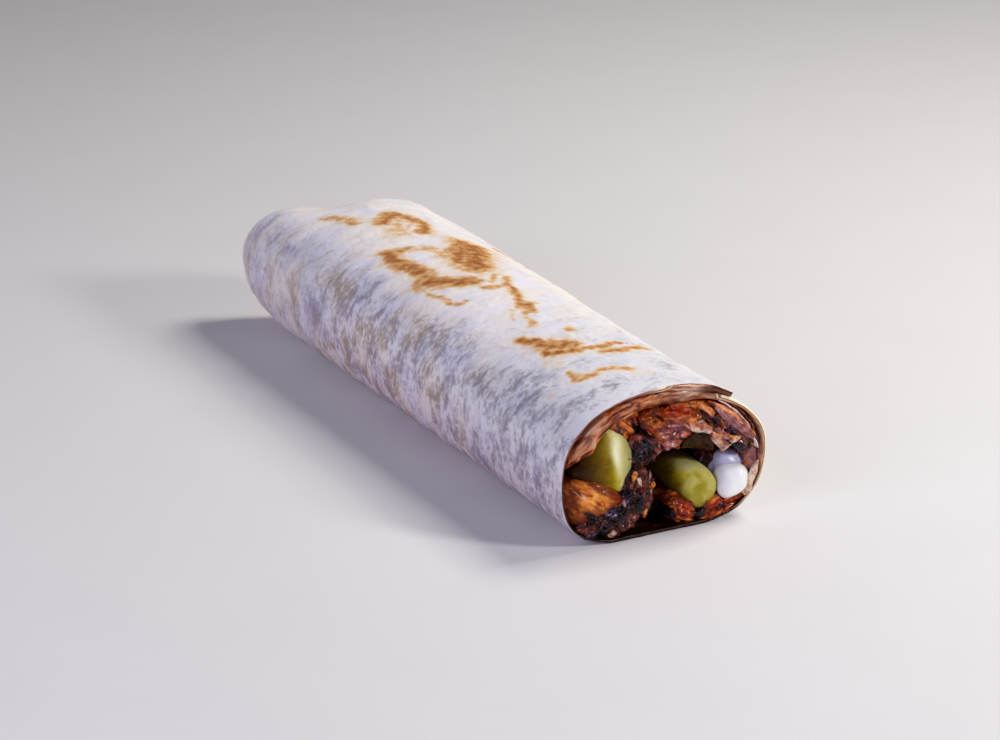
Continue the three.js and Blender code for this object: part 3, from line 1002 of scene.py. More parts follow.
def patchy_field(angle, along):
    """How patchy the flour is: much on the sides and round the left of the cut, a
    little on the top and at the folded end."""
    near = smooth(100.0, 118.0, in_degrees(angle)) * fall(8.0, 30.0, along)
    sides = mix(1.40, 0.70, smooth(110.0, 175.0, along))
    on_top = mix(0.85, 0.50, smooth(20.0, 80.0, along))
    return np.maximum(mix(sides, on_top, top_share(angle, along)), 1.35 * near)


def soak_field(points):
    """How dark the inside is, with juice and with painted shade: most along the bottom of
    the cavity and up the left.
    """
    low = fall(3.0, 13.0, points[..., 2] - 0.25 * np.maximum(points[..., 0] - 12.0, 0.0))
    left = fall(-33.0, -26.0, points[..., 0]) * fall(20.0, 27.0, points[..., 2])
    return np.clip(low + 0.85 * left, 0.0, 1.0)


def store_bread_fields(piece):
    """Everything that the bread's finish reads. The sheet rolled out flat gives the
    coordinates for its patterns, with its two faces apart and the end drawn out."""
    face = np.broadcast_to(side, sheet_turns.shape)
    degrees = in_degrees(sheet_angle)
    from_cut = sheet_along - sheet_along[:1]
    cut_face = fall(0.0, 0.3, from_cut)
    flap = fall(0.11, 0.16, sheet_turns)
    flap_tip = fall(0.045, 0.085, sheet_turns)
    first_layer = fall(1.005, 1.03, sheet_turns)
    inner = np.maximum(face, 1.0 - first_layer)
    inner = inner * np.maximum(smooth(0.0, 0.015, sheet_turns), fall(1.0, 5.0, from_cut))
    band = fall(2.0, 6.0, from_cut) * smooth(0.70, 0.78, np.maximum(sheet_turns, flap))
    toasted = strokes_field(TOAST_STROKES, sheet_angle, sheet_along, 0.38)
    past_end = np.clip(way - 1.0, 0.0, 1.0)[:, None] * CREASE_REACH
    around = np.degrees(sheet_angle) * MM_PER_DEGREE
    write_fields(
        piece,
        toast=toasted * (1.0 - face) * first_layer,
        inner=np.maximum(inner, cut_face * flap),
        cut_edge=cut_face,
        flour=flour_field(sheet_angle, sheet_along),
        patchy=patchy_field(sheet_angle, sheet_along),
        near_cut=fall(20.0, 90.0, sheet_along),
        low_side=plateau(degrees, *LOW_SIDE) * mix(1.0, 0.6, smooth(110.0, 160.0, sheet_along)),
        soak=np.maximum(soak_field(sheet_points), 0.75 * flap_tip * cut_face),
        brown_rim=plateau(degrees, *BROWN_RIM),
        band_pale=dab_field(BAND_PALE, sheet_points) * band,
        band_dark=dab_field(BAND_DARK, sheet_points) * band,
        rolled_out=np.stack([sheet_along + past_end, around, face * FACES_APART], axis=-1),
    )


bread = sheet_mesh("bread_sheet", sheet_points)
store_bread_fields(bread)

# %% [markdown]
# ## The bread's finish
#
# Outside, thin bread is white with flour, and through the flour a greyer, browner
# crumb shows in fine streaks that run round the roll. The low side is painted darker
# and pinker, as shade. The toasted marks go from gold to brown. Inside, the bread is
# stained by fat and juice and is glossy; along the bottom and up the left the stain
# deepens into painted shade, and pale dabs paint highlights along the band at the cut.
# All of it is one material that reads the fields stored above.

# %% Bread material
def bread_finish():
    """Flour over crumb, toast over both, painted shade on the low side, and on the inner
    face stains, painted shade and painted highlights.
    """
    finish = Finish("floured_flatbread")
    place = finish.place()
    rolled = finish.field_vector("rolled_out")

    def pattern(scale, detail, distortion=0.0, base=rolled):
        """Noise over the rolled-out sheet, with a scale of its own for each axis."""
        return finish.noise(finish.stretched(base, scale), 1.0, detail, distortion)

    clouds = pattern((0.15, 0.12, 0.3), 2.0, 0.5)
    blots = pattern((0.46, 0.36, 0.3), 3.0, 0.8)
    slanted = finish.stretched(rolled, (1.0, 1.0, 1.0), (0.0, 0.0, 0.35))
    streaks = pattern((0.66, 0.20, 0.3), 2.0, 0.2, slanted)
    grain = finish.noise(place, 700.0, 3.0)
    uneven = finish.times(finish.sum("SUBTRACT", clouds, 0.5), 1.9)
    for part, amount in ((blots, 1.2), (streaks, 0.5), (grain, 1.0)):
        uneven = finish.swayed(uneven, part, amount)
    cover = finish.sum("MULTIPLY_ADD", uneven, finish.field("patchy"), finish.field("flour"))
    flour = finish.between(cover, -0.10, 1.05)
    hue = pattern((0.10, 0.08, 0.3), 3.0)
    crumb = finish.ramp(hue, [
        (0.38, (0.40, 0.36, 0.43)), (0.50, (0.42, 0.35, 0.36)), (0.60, (0.47, 0.38, 0.30)),
    ])
    crumb = finish.blend(finish.times(finish.field("near_cut"), 0.7), crumb, (0.31, 0.32, 0.40))
    dusted = finish.ramp(hue, [
        (0.36, (0.87, 0.86, 0.93)), (0.50, (0.92, 0.88, 0.86)), (0.64, (0.94, 0.88, 0.81)),
    ])
    dusted = finish.blend(finish.times(finish.field("near_cut"), 0.75), dusted, (0.79, 0.79, 0.82))
    colour = finish.blend(flour, crumb, dusted)
    # Painted shade on the low side: darker and pinker, as if lit by a warm bounce from the table
    colour = finish.blend(finish.field("low_side"), colour, (0.82, 0.71, 0.75), "MULTIPLY")
    patches = finish.swayed(pattern((0.44, 0.40, 0.3), 1.0, 0.4), grain, 0.12)
    toast = finish.times(finish.field("toast"), finish.between(patches, 0.30, 0.70, 0.62, 1.12))
    browned = finish.ramp(toast, [
        (0.08, (0.92, 0.82, 0.66)), (0.26, (0.86, 0.64, 0.38)), (0.50, (0.70, 0.38, 0.15)),
        (0.74, (0.50, 0.21, 0.065)), (1.0, (0.36, 0.13, 0.035)),
    ])
    colour = finish.blend(finish.between(toast, 0.02, 0.42), colour, browned)

    mottle = pattern((0.34, 0.17, 0.46), 5.0, 0.9)
    stained = finish.ramp(mottle, [
        (0.38, (0.06, 0.006, 0.002)), (0.45, (0.28, 0.036, 0.006)), (0.51, (0.60, 0.15, 0.022)),
        (0.58, (0.70, 0.24, 0.055)), (0.66, (0.86, 0.45, 0.25)),
    ])
    # Pale crumb and painted highlights on the band, cream to pinkish white
    pale = finish.ramp(mottle, [
        (0.38, (0.60, 0.30, 0.18)), (0.50, (0.88, 0.64, 0.50)), (0.62, (0.97, 0.86, 0.80)),
    ])
    stained = finish.over("band_pale", stained, pale)
    # Dark red: juice stain, and painted shade in the gaps
    stained = finish.over("band_dark", stained, (0.085, 0.006, 0.002))
    # Juice stain, deepened to near black along the bottom and up the left as painted shade
    juicy = finish.ramp(mottle, [
        (0.40, (0.005, 0.002, 0.001)), (0.54, (0.014, 0.003, 0.001)), (0.70, (0.06, 0.012, 0.003)),
    ])
    stained = finish.over("soak", stained, juicy)
    colour = finish.over("inner", colour, stained)
    layers = finish.swayed(finish.field("inner"), mottle, 0.5)
    rim = finish.ramp(layers, [
        (0.10, (0.96, 0.84, 0.68)), (0.34, (0.90, 0.66, 0.44)), (0.46, (0.14, 0.075, 0.020)),
        (0.60, (0.30, 0.12, 0.03)), (0.72, (0.88, 0.66, 0.46)), (0.86, (0.30, 0.10, 0.03)),
    ])
    # On the left and the bottom the cut edge is brown, partly stain and partly painted shade, while the lit
    # right edge stays cream
    brown = finish.over("soak", (0.30, 0.13, 0.10), (0.030, 0.008, 0.004))
    rim = finish.over("brown_rim", rim, brown)
    not_inside = finish.between(finish.field("inner"), 0.8, 1.0, 1.0, 0.0)
    colour = finish.blend(finish.times(finish.field("cut_edge"), not_inside), colour, rim)

    roughness = finish.over("inner", (0.88, 0.88, 0.88), (0.26, 0.26, 0.26))
    wet = finish.times(finish.field("inner"), finish.between(finish.field("soak"), 0.2, 1.0, 0.32, 0.05))
    height = finish.together(blots, 0.8, grain, 0.4)
    height = finish.sum("MULTIPLY_ADD", mottle, finish.field("inner"), height)
    return finish.set(
        Base_Color=colour, Roughness=roughness, Normal=finish.bump(height, 0.30),
        Subsurface_Weight=0.06, Subsurface_Scale=0.003, Subsurface_Radius=(1.0, 0.6, 0.4),
        Specular_IOR_Level=0.14, Coat_Weight=wet, Coat_Roughness=0.13,
    )


deliver(bread, "flatbread", bread_finish())

# %% [markdown]
# ## The fillings: forms
#
# Each filling starts from an outline drawn on the cut, a few points round
# its middle. Behind the cut it spreads until its neighbours or the bread stop it.
# Two neighbours part along a straight line, further from the one that pushes more,
# so that no two of them meet inside.

# %% The outlines
# Each filling: its middle on the cut, how strongly it pushes its neighbours away, how
# far its face sits back, how round its nose is, how much it spreads behind the cut,
# and its outline on the cut
FILLINGS = {
    "pickle_left": dict(at=(-15.8, 24.4), push=44, back=0.6, nose=2.2, spread=0.35, outline=(
        (-18.4, 33.8), (-14.6, 32), (-10.8, 28.2), (-9.2, 24.2), (-9.8, 20.4), (-11.2, 16.8),
        (-12.6, 14), (-16.6, 15.2), (-21, 17.6), (-25.4, 19.8), (-29.4, 22.4), (-26.4, 24.8),
        (-23.8, 27.6), (-21.2, 31.2),
    )),
    "pickle_centre": dict(at=(12, 10), push=14, back=1.2, nose=1, spread=0.35, outline=(
        (5.6, 8.2), (5.8, 12.8), (8.4, 16.2), (13.2, 16.6), (17.4, 14.2), (17.4, 9), (15.6, 5.4),
        (11.5, 4.4), (7.4, 5.2),
    )),
    "garlic_sauce": dict(at=(21.8, 12.4), push=26, back=6, nose=4, spread=0.6, outline=(
        (16.4, 12), (17.6, 16.4), (21.4, 18.6), (25.6, 17.2), (27.6, 13), (26.4, 8.2), (22, 6.2),
        (18, 7.6),
    )),
    "meat_left": dict(at=(-22.6, 12.6), push=55, back=0, nose=3.4, spread=1, outline=(
        (-30.8, 19), (-28.2, 20.4), (-23.6, 18.9), (-19, 16.8), (-14.8, 14.9), (-12, 12.2),
        (-12.6, 8.8), (-16, 8.2), (-20, 8.4), (-24.4, 6.8), (-27.8, 7.4), (-30.4, 10), (-31.2, 13.6),
    )),
    "meat_charred": dict(at=(-18.2, 5.6), push=12, back=0.2, nose=2, spread=1, outline=(
        (-28.4, 7.2), (-25, 7.6), (-21, 8.6), (-17.5, 10.2), (-13.2, 10), (-10.2, 6.6), (-9, 3.4),
        (-13, 2.4), (-20, 2.5), (-24.6, 3.6), (-27.6, 5.4),
    )),
    "meat_tucked": dict(at=(-11.8, 33), push=0, back=3, nose=2, spread=1, outline=(
        (-17.2, 34), (-14, 37.2), (-9.8, 38), (-7, 35.4), (-8, 30.6), (-12, 28.4), (-15.6, 30.4),
    )),
    "meat_middle": dict(at=(-8.2, 13), push=12, back=-0.2, nose=2, spread=1, outline=(
        (-11.4, 18.6), (-9.4, 20.8), (-6.6, 20.4), (-4.8, 17.6), (-4, 14.6), (-4.8, 11.6), (-5.2, 8.8),
        (-6, 5.4), (-8.2, 4.2), (-11.4, 5.6), (-12.8, 9), (-12.4, 13.6),
    )),
    "meat_burnt": dict(at=(-6.2, 25), push=6, back=1.2, nose=2.4, spread=1, outline=(
        (-10.8, 26.6), (-9.2, 29.4), (-5.8, 29.6), (-2.8, 28.4), (-0.6, 25.6), (-2.4, 22.2),
        (-5.6, 20.2), (-9.6, 20.6), (-11.2, 23.4),
    )),
    "meat_top": dict(at=(3, 31.8), push=30, back=0.8, nose=2.6, spread=1, outline=(
        (-7.2, 33), (-5.2, 35.6), (0, 36.7), (6, 37), (11.6, 36.4), (13.6, 32.8), (12.6, 28.6),
        (8.2, 26.4), (5, 23.6), (1.6, 23.2), (0.2, 26.6), (-3.2, 29.2), (-6.2, 30.6),
    )),
    "meat_slice_upper": dict(at=(20.4, 30.6), push=6, back=0.4, nose=1.2, spread=1, outline=(
        (9.8, 36.8), (14.2, 36.8), (18.4, 34.6), (23.2, 30.8), (27.4, 26.2), (29.8, 22.4), (28.2, 21.4),
        (25, 24), (21, 28), (16.4, 32.2), (12, 34.6),
    )),
    "meat_slice_lower": dict(at=(19.8, 26.4), push=8, back=0.8, nose=1.4, spread=1, outline=(
        (10.6, 32.4), (15, 34), (20, 31), (24, 27.6), (28, 24), (30.8, 20.4), (29.4, 19.2),
        (25.4, 22.6), (21.4, 23.4), (17.4, 25.6), (13.4, 28.6),
    )),
    "meat_red": dict(at=(6.6, 4.8), push=8, back=0, nose=1.6, spread=1, outline=(
        (2.4, 6.2), (4.8, 8.6), (8, 7.8), (10.4, 5.2), (11.2, 2.4), (7, 1.5), (3.4, 2.4),
    )),
    "meat_base_right": dict(at=(18.6, 3.8), push=4, back=0.4, nose=1, spread=1, outline=(
        (10.4, 2.8), (14.5, 4.6), (20, 5.6), (26.4, 7.4), (27.2, 5.6), (23, 3.2), (17, 1.6), (12, 1.2),
    )),
}


print("fillings:", ", ".join(FILLINGS))

# %% How far a filling may reach
ROOM_INSET = 3.9
FILLING_GAP = 0.35
SPREAD_RANGE = (0.03, 0.2)
LAST_STATION = 0.9
HALVINGS = 24
LEAST_REACH = 0.4


def outline_reach(filling, angle):
    """How far the drawn outline reaches from the middle in each direction: its
    points are turned into directions and distances, and filled in between."""
    away = np.array(filling["outline"]) - filling["at"]
    direction = np.arctan2(away[:, 1], away[:, 0])
    order = np.argsort(direction)
    reach = np.zeros_like(angle)
    for nudge in (-0.06, 0.0, 0.06):
        reach += np.interp(angle + nudge, direction[order], np.hypot(*away.T)[order], period=2 * np.pi)
    return reach / 3.0


def room_reach(at, angle):
    """How far the room inside the bread reaches, found by halving a distance."""
    half_width, half_height, middle = roll_size(0.0)
    near, far = np.zeros_like(angle), np.full_like(angle, CUT_SIZE[0])
    for _ in range(HALVINGS):
        reach = (near + far) / 2
        across = at[0] + reach * np.cos(angle)
        upward = at[1] + reach * np.sin(angle) - middle
        way_out = np.arctan2(upward, across)
        limit = oval_reach(way_out, half_width - ROOM_INSET, half_height - ROOM_INSET, squareness(way_out))
        inside = (np.hypot(across, upward) < limit) & (upward + middle > ROOM_INSET)
        near, far = np.where(inside, reach, near), np.where(inside, far, reach)
    return near


def space_reach(name, angle):
    """How far a filling may reach before the bread or a neighbour stops it."""
    own = FILLINGS[name]
    reach = room_reach(own["at"], angle)
    for other_name, other in FILLINGS.items():
        if other_name == name:
            continue
        across, upward = np.subtract(other["at"], own["at"])
        distance = np.hypot(across, upward)
        border = (distance**2 + own["push"] - other["push"]) / (2 * distance) - FILLING_GAP / 2
        facing = (across * np.cos(angle) + upward * np.sin(angle)) / distance
        to_border = border / np.maximum(facing, 0.001)
        reach = np.where(facing > 0.001, np.minimum(reach, to_border), reach)
    return np.maximum(reach, LEAST_REACH)


for name in ("pickle_left", "garlic_sauce"):
    print(name, "may reach", space_reach(name, np.zeros(1)).round(1), "mm to the right")

# %% [markdown]
# Rings cover the face from its middle outwards, run back along the roll, close
# together where the camera can look in, and shrink to a rounded tail.

# %% Rings of a filling
FACE_RINGS = 27
NEAR_RINGS = 33
NEAR_STEP = 0.45
DEEP_RINGS = 34


def section_point(across, upward, s):
    """The room grows with the roll, and so does all that is in it."""
    cut_width, cut_height, cut_middle = roll_size(0.0)
    half_width, half_height, middle = roll_size(s)
    raised = middle + (upward - cut_middle) * half_height / cut_height
    return in_place(across * half_width / cut_width, raised, s)


def filling_grid(name, columns=200):
    """A filling's rings. Each ring has a share of the outline and a depth: the face
    bulges like part of a ball, the body keeps its share, the tail loses it."""
    filling = FILLINGS[name]
    face = np.linspace(0.05, 1.0, FACE_RINGS)
    bulge = filling["back"] + filling["nose"] * (1.0 - np.sqrt(1.0 - (face * 0.98) ** 2))
    near = bulge[-1] + np.arange(1, NEAR_RINGS + 1) * NEAR_STEP
    deep = np.linspace(near[-1] + 1.0, ROLL_LENGTH * LAST_STATION, DEEP_RINGS)
    tail = np.sqrt(1.0 - np.linspace(0, 1, DEEP_RINGS) ** 12 * 0.9)
    share = np.concatenate([face, np.ones(NEAR_RINGS), tail])
    depth = np.concatenate([bulge, near, deep])
    angle = np.linspace(-np.pi, np.pi, columns, endpoint=False)
    s = depth[:, None] / ROLL_LENGTH
    space = space_reach(name, angle)[None, :]
    drawn = outline_reach(filling, angle)[None, :]
    spread = filling["spread"] * smooth(*SPREAD_RANGE, s)
    kept_in = mix(drawn, np.minimum(drawn, space), smooth(0.02, 0.1, s))
    reach = share[:, None] * mix(kept_in, space, spread)
    across = filling["at"][0] + reach * np.cos(angle)
    upward = filling["at"][1] + reach * np.sin(angle)
    return section_point(across, upward, s)

# %% Relief on a grid
def grid_normals(grid):
    """The outward direction at each point, from its neighbours on the grid."""
    along = np.gradient(grid, axis=0)
    around = np.roll(grid, -1, axis=1) - np.roll(grid, 1, axis=1)
    normal = np.cross(along, around)
    return normal / np.maximum(np.linalg.norm(normal, axis=-1, keepdims=True), 1e-9)


def swollen(grid, relief):
    """Moves each point of a grid outwards by its own part of a relief."""
    return grid + grid_normals(grid) * relief[..., None]


def in_sections(points):
    """Coordinates for patterns: across, depth behind the cut and up."""
    return points + np.array([0.0, ROLL_LENGTH / 2, 0.0])


def from_sections(points):
    """The way back, from a depth behind the cut to a place along the roll."""
    return points - np.array([0.0, ROLL_LENGTH / 2, 0.0])


def stretched_along(points, direction, times):
    """Squeezes coordinates along one direction, so that a pattern grows long there."""
    direction = np.array(direction) / np.linalg.norm(direction)
    along = (points @ direction)[..., None] * direction
    return points - along * (1.0 - 1.0 / times)

# %% [markdown]
# ## Where the meat is browned
#
# The meat is darkest where it met the flame, orange where only its fat browned, and
# pale where it was sliced. Dabs place these on the cut: an oval, its tilt
# and its strength. Noise then breaks the edge of every dab.

# %% The dabs
# Each dab: across, up, its half sizes, its tilt in degrees and its strength
DABS = {
    "char": (
        # The first char dab is painted shade in the gap under the slices on the right
        (24.2, 20.8, 3.8, 2, -22, 1), (-23.4, 9, 4.4, 1.2, -40, 1), (-15.2, 8.2, 3.6, 2.8, 0, 1.25),
        (-11.6, 13, 1.6, 3.8, 0, 1), (-20.6, 3.8, 5, 2.2, 10, 1.1), (-7, 25.6, 3.8, 3.4, 0, 1.25),
        (-10.6, 20.4, 2, 2.6, 0, 1), (-8.6, 11, 2.2, 5, 0, 0.75), (-7.4, 31.8, 3.6, 1.2, -44, 1.1),
        (2.4, 24.2, 3, 1.6, 0, 0.62), (16.8, 30.6, 2.6, 1.6, -40, 0.7), (23.6, 25, 4, 1.6, -42, 0.85),
        (28.8, 20.6, 2.4, 1.6, -42, 1), (6.2, 26.6, 1.6, 0.9, -30, 0.7), (-27.6, 4.4, 2, 1, 0, 0.6),
        (12.4, 2.6, 3, 1.4, 10, 0.75), (-30.6, 11.6, 1.6, 3.6, 0, 0.45), (2.6, 4.6, 2, 2.6, 0, 0.8),
        (12, 3.4, 3, 1.8, 10, 1), (18.6, 3.9, 7.5, 1.3, 14, 0.62), (-13, 32.2, 2.6, 3, 0, 0.5),
        (-29.4, 14, 1.6, 3.6, 0, 0.35),
    ),
    "tan": (
        (-24.4, 15, 3.6, 3.4, -30, 1), (-20.4, 13.2, 3.4, 2.6, -25, 0.75),
        (-26.4, 18.6, 3.6, 2, -25, 0.7), (-6.4, 7.4, 1.1, 1.9, 0, 0.8), (-5.2, 14.4, 1.3, 3, 0, 0.6),
        (11.8, 35.6, 2.8, 1.5, -10, 0.9), (20, 22.6, 3.4, 1.1, -18, 1), (6.4, 5.4, 1.8, 1.8, 0, 0.5),
        (24.6, 30.6, 3, 0.7, -42, 0.5), (-4, 34, 2.4, 1.4, -20, 0.75), (7.8, 32.2, 1.5, 1.5, 0, 0.7),
        (11.6, 36.4, 2.4, 0.9, -20, 0.8),
    ),
    "red": (
        (-14.6, 11.8, 2.8, 2, -20, 0.7), (3.6, 35.4, 5.4, 1.9, -3, 1.15),
        (-2.6, 31.6, 3.4, 2, -20, 0.7), (6.8, 5.4, 3.6, 2.8, -30, 1.2), (19.6, 4.6, 9, 2.2, 14, 1.2),
        (-12, 33, 3.4, 3.4, 0, 0.5), (-30, 8.4, 2.2, 2.6, 0, 0.45), (8.8, 34.6, 2, 1.6, 0, 0.6),
        (-8.6, 6.4, 2.4, 1.8, 0, 0.35),
    ),
    "fat": (
        (-26.2, 16.4, 0.5, 3, 14, 0.62), (12, 30.4, 3, 1.2, -8, 0.8), (-16.4, 2.2, 1.5, 0.7, 0, 0.6),
        # The fat dab at -8.5 across and 17.4 up is a painted highlight, a white glint
        (-8.5, 17.4, 0.7, 1.3, 10, 0.9), (20.4, 22, 2.6, 0.6, -18, 0.6),
        (22.4, 26.6, 1.6, 0.5, -42, 0.5),
    ),
    # These dabs are painted glints: lavender reflections on the wet char and the slices
    "violet": (
        (-17, 9.2, 2, 1.8, 0, 1), (-12.4, 13.4, 1, 2.6, 0, 0.55), (-24, 3.8, 3, 0.9, 12, 0.6),
        (21.6, 27.4, 2.6, 0.9, -40, 0.9), (26.2, 23.4, 2.6, 0.7, -42, 0.6),
        (-7, 25.4, 1.6, 1.6, 0, 0.6), (17, 31, 2, 0.8, -40, 0.5), (4.6, 29.8, 2.2, 1.6, 0, 0.45),
    ),
    "mauve": (
        (21.8, 30, 8.4, 2.6, -42, 1), (20.6, 26.2, 8, 2.4, -40, 0.7), (3.8, 30, 5.6, 3.4, -12, 1.1),
        (1.6, 25.2, 4, 2.6, 0, 1), (-10, 5.6, 3, 2.6, 0, 0.5), (-15.2, 8.2, 2.6, 2, 0, 0.6),
        (-13.4, 10.6, 1.5, 2.8, 0, 0.8), (-20, 4.4, 3, 0.8, 8, 0.6), (-8, 22.6, 2.6, 1, 0, 0.6),
    ),
}
print("dabs:", {kind: len(dabs) for kind, dabs in DABS.items()})

# %% [markdown]
# ## The meat
#
# Grilled meat is lumpy, torn and stringy. Its relief adds lumps, strands that run
# one way in each piece, pits and grit. A smooth body with a bumpy finish would look
# like clay: torn edges need real relief.

# %% How rough each piece is
# Each piece of meat: which way its strands run, and how deep its lumps, strands, pits,
# grit and sliced layers are
MEATS = {
    "meat_left": ((0.8, 0.2, -0.6), 0.7, 0.22, 0.08, 0.04, 0.35),
    "meat_charred": ((0.9, 0.3, 0.1), 1, 0.4, 0.9, 0.2, 0.3),
    "meat_tucked": ((0.7, 0.2, -0.7), 0.5, 0.3, 0.2, 0.08, 0.5),
    "meat_middle": ((0.2, 0.3, 0.9), 1, 0.45, 1, 0.2, 0.4),
    "meat_burnt": ((0.5, 0.6, 0.5), 1, 0.4, 1, 0.24, 0.2),
    "meat_top": ((0.95, 0.2, -0.3), 0.8, 0.35, 0.5, 0.16, 0.4),
    "meat_slice_upper": ((0.75, 0.1, -0.65), 0.3, 0.15, 0, 0.04, 0.3),
    "meat_slice_lower": ((0.75, 0.1, -0.65), 0.5, 0.4, 0.5, 0.12, 0.9),
    "meat_red": ((0.8, 0.3, -0.4), 0.6, 0.35, 0.3, 0.08, 0.4),
    "meat_base_right": ((0.95, 0.2, 0.2), 0.4, 0.25, 0.15, 0.06, 0.5),
}
SLICE_HEIGHT = 3.2
# How far above the table meat and shreds stay, in mm
MEAT_CLEARANCE = 1.3
SHRED_CLEARANCE = 1.0
print("strands of meat_left run along", MEATS["meat_left"][0])

# %% Meat forms
meat_skins = {}


def warped(points, size, reach, seed):
    """Moves coordinates about by random hills, so that a pattern bends and tears."""
    shifts = [hills(points, size, seed + axis) for axis in range(3)]
    return points + reach * np.stack(shifts, axis=-1)


def meat_relief(points, seed, strands_run, lumps, strands, pits, grit, layers):
    """Millimetres outwards: lumps, plus crests along the strands, less pits where
    hills are high, plus grit, plus slices. A slice rises slowly and drops at once."""
    bent = warped(points, 5.0, 1.6, seed + 3)
    stringy = stretched_along(bent, strands_run, 4.5)
    relief = lumps * rough_hills(bent, 6.0, seed, 2)
    relief += strands * ridges(stringy, 2.2, seed + 7, 2)
    relief -= pits * smooth(0.2, 0.7, rough_hills(bent, 3.4, seed + 13, 2))
    relief += grit * rough_hills(points, 1.1, seed + 19, 2)
    upright = np.array([-strands_run[2], 0.0, strands_run[0]]) / SLICE_HEIGHT
    stack = points @ upright + 0.45 * rough_hills(bent, 6.0, seed + 29, 2)
    ledge = stack - np.floor(stack)
    return relief + layers * (smooth(0.0, 0.8, ledge) - smooth(0.8, 1.0, ledge))


def dab_fields(points, spare=1.0):
    """Every kind of dab at each of a list of points. Deep inside they fade."""
    fade = mix(1.0, 0.4, smooth(4.0, 16.0, points[..., 1]))
    return {kind: dab_field(dabs, points) * fade * spare for kind, dabs in DABS.items()}


def make_meat(name, seed, material):
    """One piece of meat with the fields that its finish reads."""
    grid = filling_grid(name)
    points = in_sections(grid)
    strength = mix(1.0, 0.35, smooth(18.0, 40.0, points[..., 1]))
    relief = meat_relief(points, seed, *MEATS[name]) * strength
    grid = swollen(grid, relief)
    grid[..., 2] = np.maximum(grid[..., 2], MEAT_CLEARANCE)
    meat_skins[name] = (grid, grid_normals(grid))
    piece = skin_with_fans(name.replace("meat_", "grilled_"), [grid])
    write_fields(
        piece,
        relief=with_poles(relief),
        strands=with_poles(stretched_along(in_sections(grid), MEATS[name][0], 6.0)),
        **dab_fields(in_sections(with_poles(grid))),
    )
    deliver(piece, name, material)

# %% Meat material
# How each kind of dab is laid over the meat: between which strengths it sets in, and its
# colours from the dark places to the bright ones. The later ones lie on top
KIND_COLOURS = {
    "red": (0.3, 0.75, [
        (0.38, (0.06, 0.002, 0.001)), (0.52, (0.34, 0.020, 0.002)), (0.68, (0.86, 0.17, 0.014))]),
    "mauve": (0.3, 0.75, [
        (0.38, (0.07, 0.008, 0.009)), (0.52, (0.30, 0.058, 0.048)), (0.66, (0.76, 0.36, 0.33))]),
    "tan": (0.3, 0.75, [
        (0.36, (0.34, 0.055, 0.003)), (0.50, (0.70, 0.18, 0.016)), (0.66, (0.97, 0.46, 0.11))]),
    # The char's brightest stop, lavender on the sparse high grit, is painted glints
    "char": (0.34, 0.62, [
        (0.38, (0.002, 0.001, 0.002)), (0.58, (0.011, 0.003, 0.006)), (0.72, (0.13, 0.055, 0.10))]),
    # Painted glints: violet to lavender white on the sparse high grit
    "violet": (0.3, 0.7, [
        (0.40, (0.006, 0.002, 0.008)), (0.52, (0.07, 0.030, 0.085)), (0.66, (0.52, 0.36, 0.60))]),
    "fat": (0.38, 0.6, [(0.36, (0.36, 0.17, 0.11)), (0.60, (0.78, 0.58, 0.47))]),
}


def meat_finish(name, dark, middle, bright, uneven=1.0, wet=0.34):
    """Browned meat: a scale of browns along its strands, and over it the colours of
    each kind of dab, with edges broken by the mottle. Less uneven meat has calmer
    colours, and less wet meat has softer glints."""
    finish = Finish(name)
    place = finish.place()
    strands = finish.field_vector("strands")
    fibre = finish.noise(strands, 0.85, 4.0, 0.5)
    mottle = finish.noise(place, 420.0, 4.0, 0.6)
    grit = finish.noise(place, 1500.0, 3.0)
    shade = finish.together(fibre, 0.72, mottle, 0.28)
    # Painted light: in the pieces of meat the relief field is their real relief, so crests are made lighter
    # and hollows darker
    shade = finish.sum("MULTIPLY_ADD", finish.field("relief"), 0.11, shade)
    shade = finish.swayed(0.5, shade, uneven)
    colour = finish.ramp(shade, [(0.34, dark), (0.52, middle), (0.70, bright)])
    broken = finish.times(finish.sum("SUBTRACT", mottle, 0.5), 0.9 * uneven)
    for kind, (low, high, stops) in KIND_COLOURS.items():
        share = finish.between(finish.sum("ADD", finish.field(kind), broken), low, high)
        scale = grit if kind in ("char", "violet") else shade
        colour = finish.blend(share, colour, finish.ramp(scale, stops))
    roughness = finish.between(grit, 0.35, 0.65, 0.16, 0.40)
    height = finish.together(fibre, 0.7, mottle, 0.6)
    return finish.set(
        Base_Color=colour, Roughness=roughness, Normal=finish.bump(height, 0.45),
        Specular_IOR_Level=0.08, Coat_Weight=wet, Coat_Roughness=0.05, Subsurface_Weight=0.05,
        Subsurface_Scale=0.002, Subsurface_Radius=(1.0, 0.3, 0.15),
    )


grilled = meat_finish("grilled_meat", (0.035, 0.003, 0.001), (0.25, 0.032, 0.004), (0.80, 0.24, 0.040))
browned = meat_finish("charred_meat", (0.004, 0.001, 0.001), (0.046, 0.007, 0.007), (0.30, 0.070, 0.040))
calm = meat_finish("smooth_meat", (0.035, 0.003, 0.001), (0.22, 0.038, 0.006), (0.66, 0.20, 0.036), 0.6, 0.12)
CHARRED = ("meat_charred", "meat_middle", "meat_burnt", "meat_slice_lower")
for number, name in enumerate(MEATS):
    seed = 100 + 31 * number
    if name in CHARRED:
        make_meat(name, seed, browned)
    else:
        make_meat(name, seed, calm if name == "meat_left" else grilled)

# %% [markdown]
# Torn shreds lie all over the cut meat. Each one is a short tapering ribbon, bent and
# half sunk in the meat. A shape that is repeated so often needs few faces.

# %% Shreds
# Between which rings of a piece of meat the shreds lie, and how often a shred is divided
# along its length and round it
FRONT_RINGS = (6, 40)
SHRED_GRID = (7, 6)


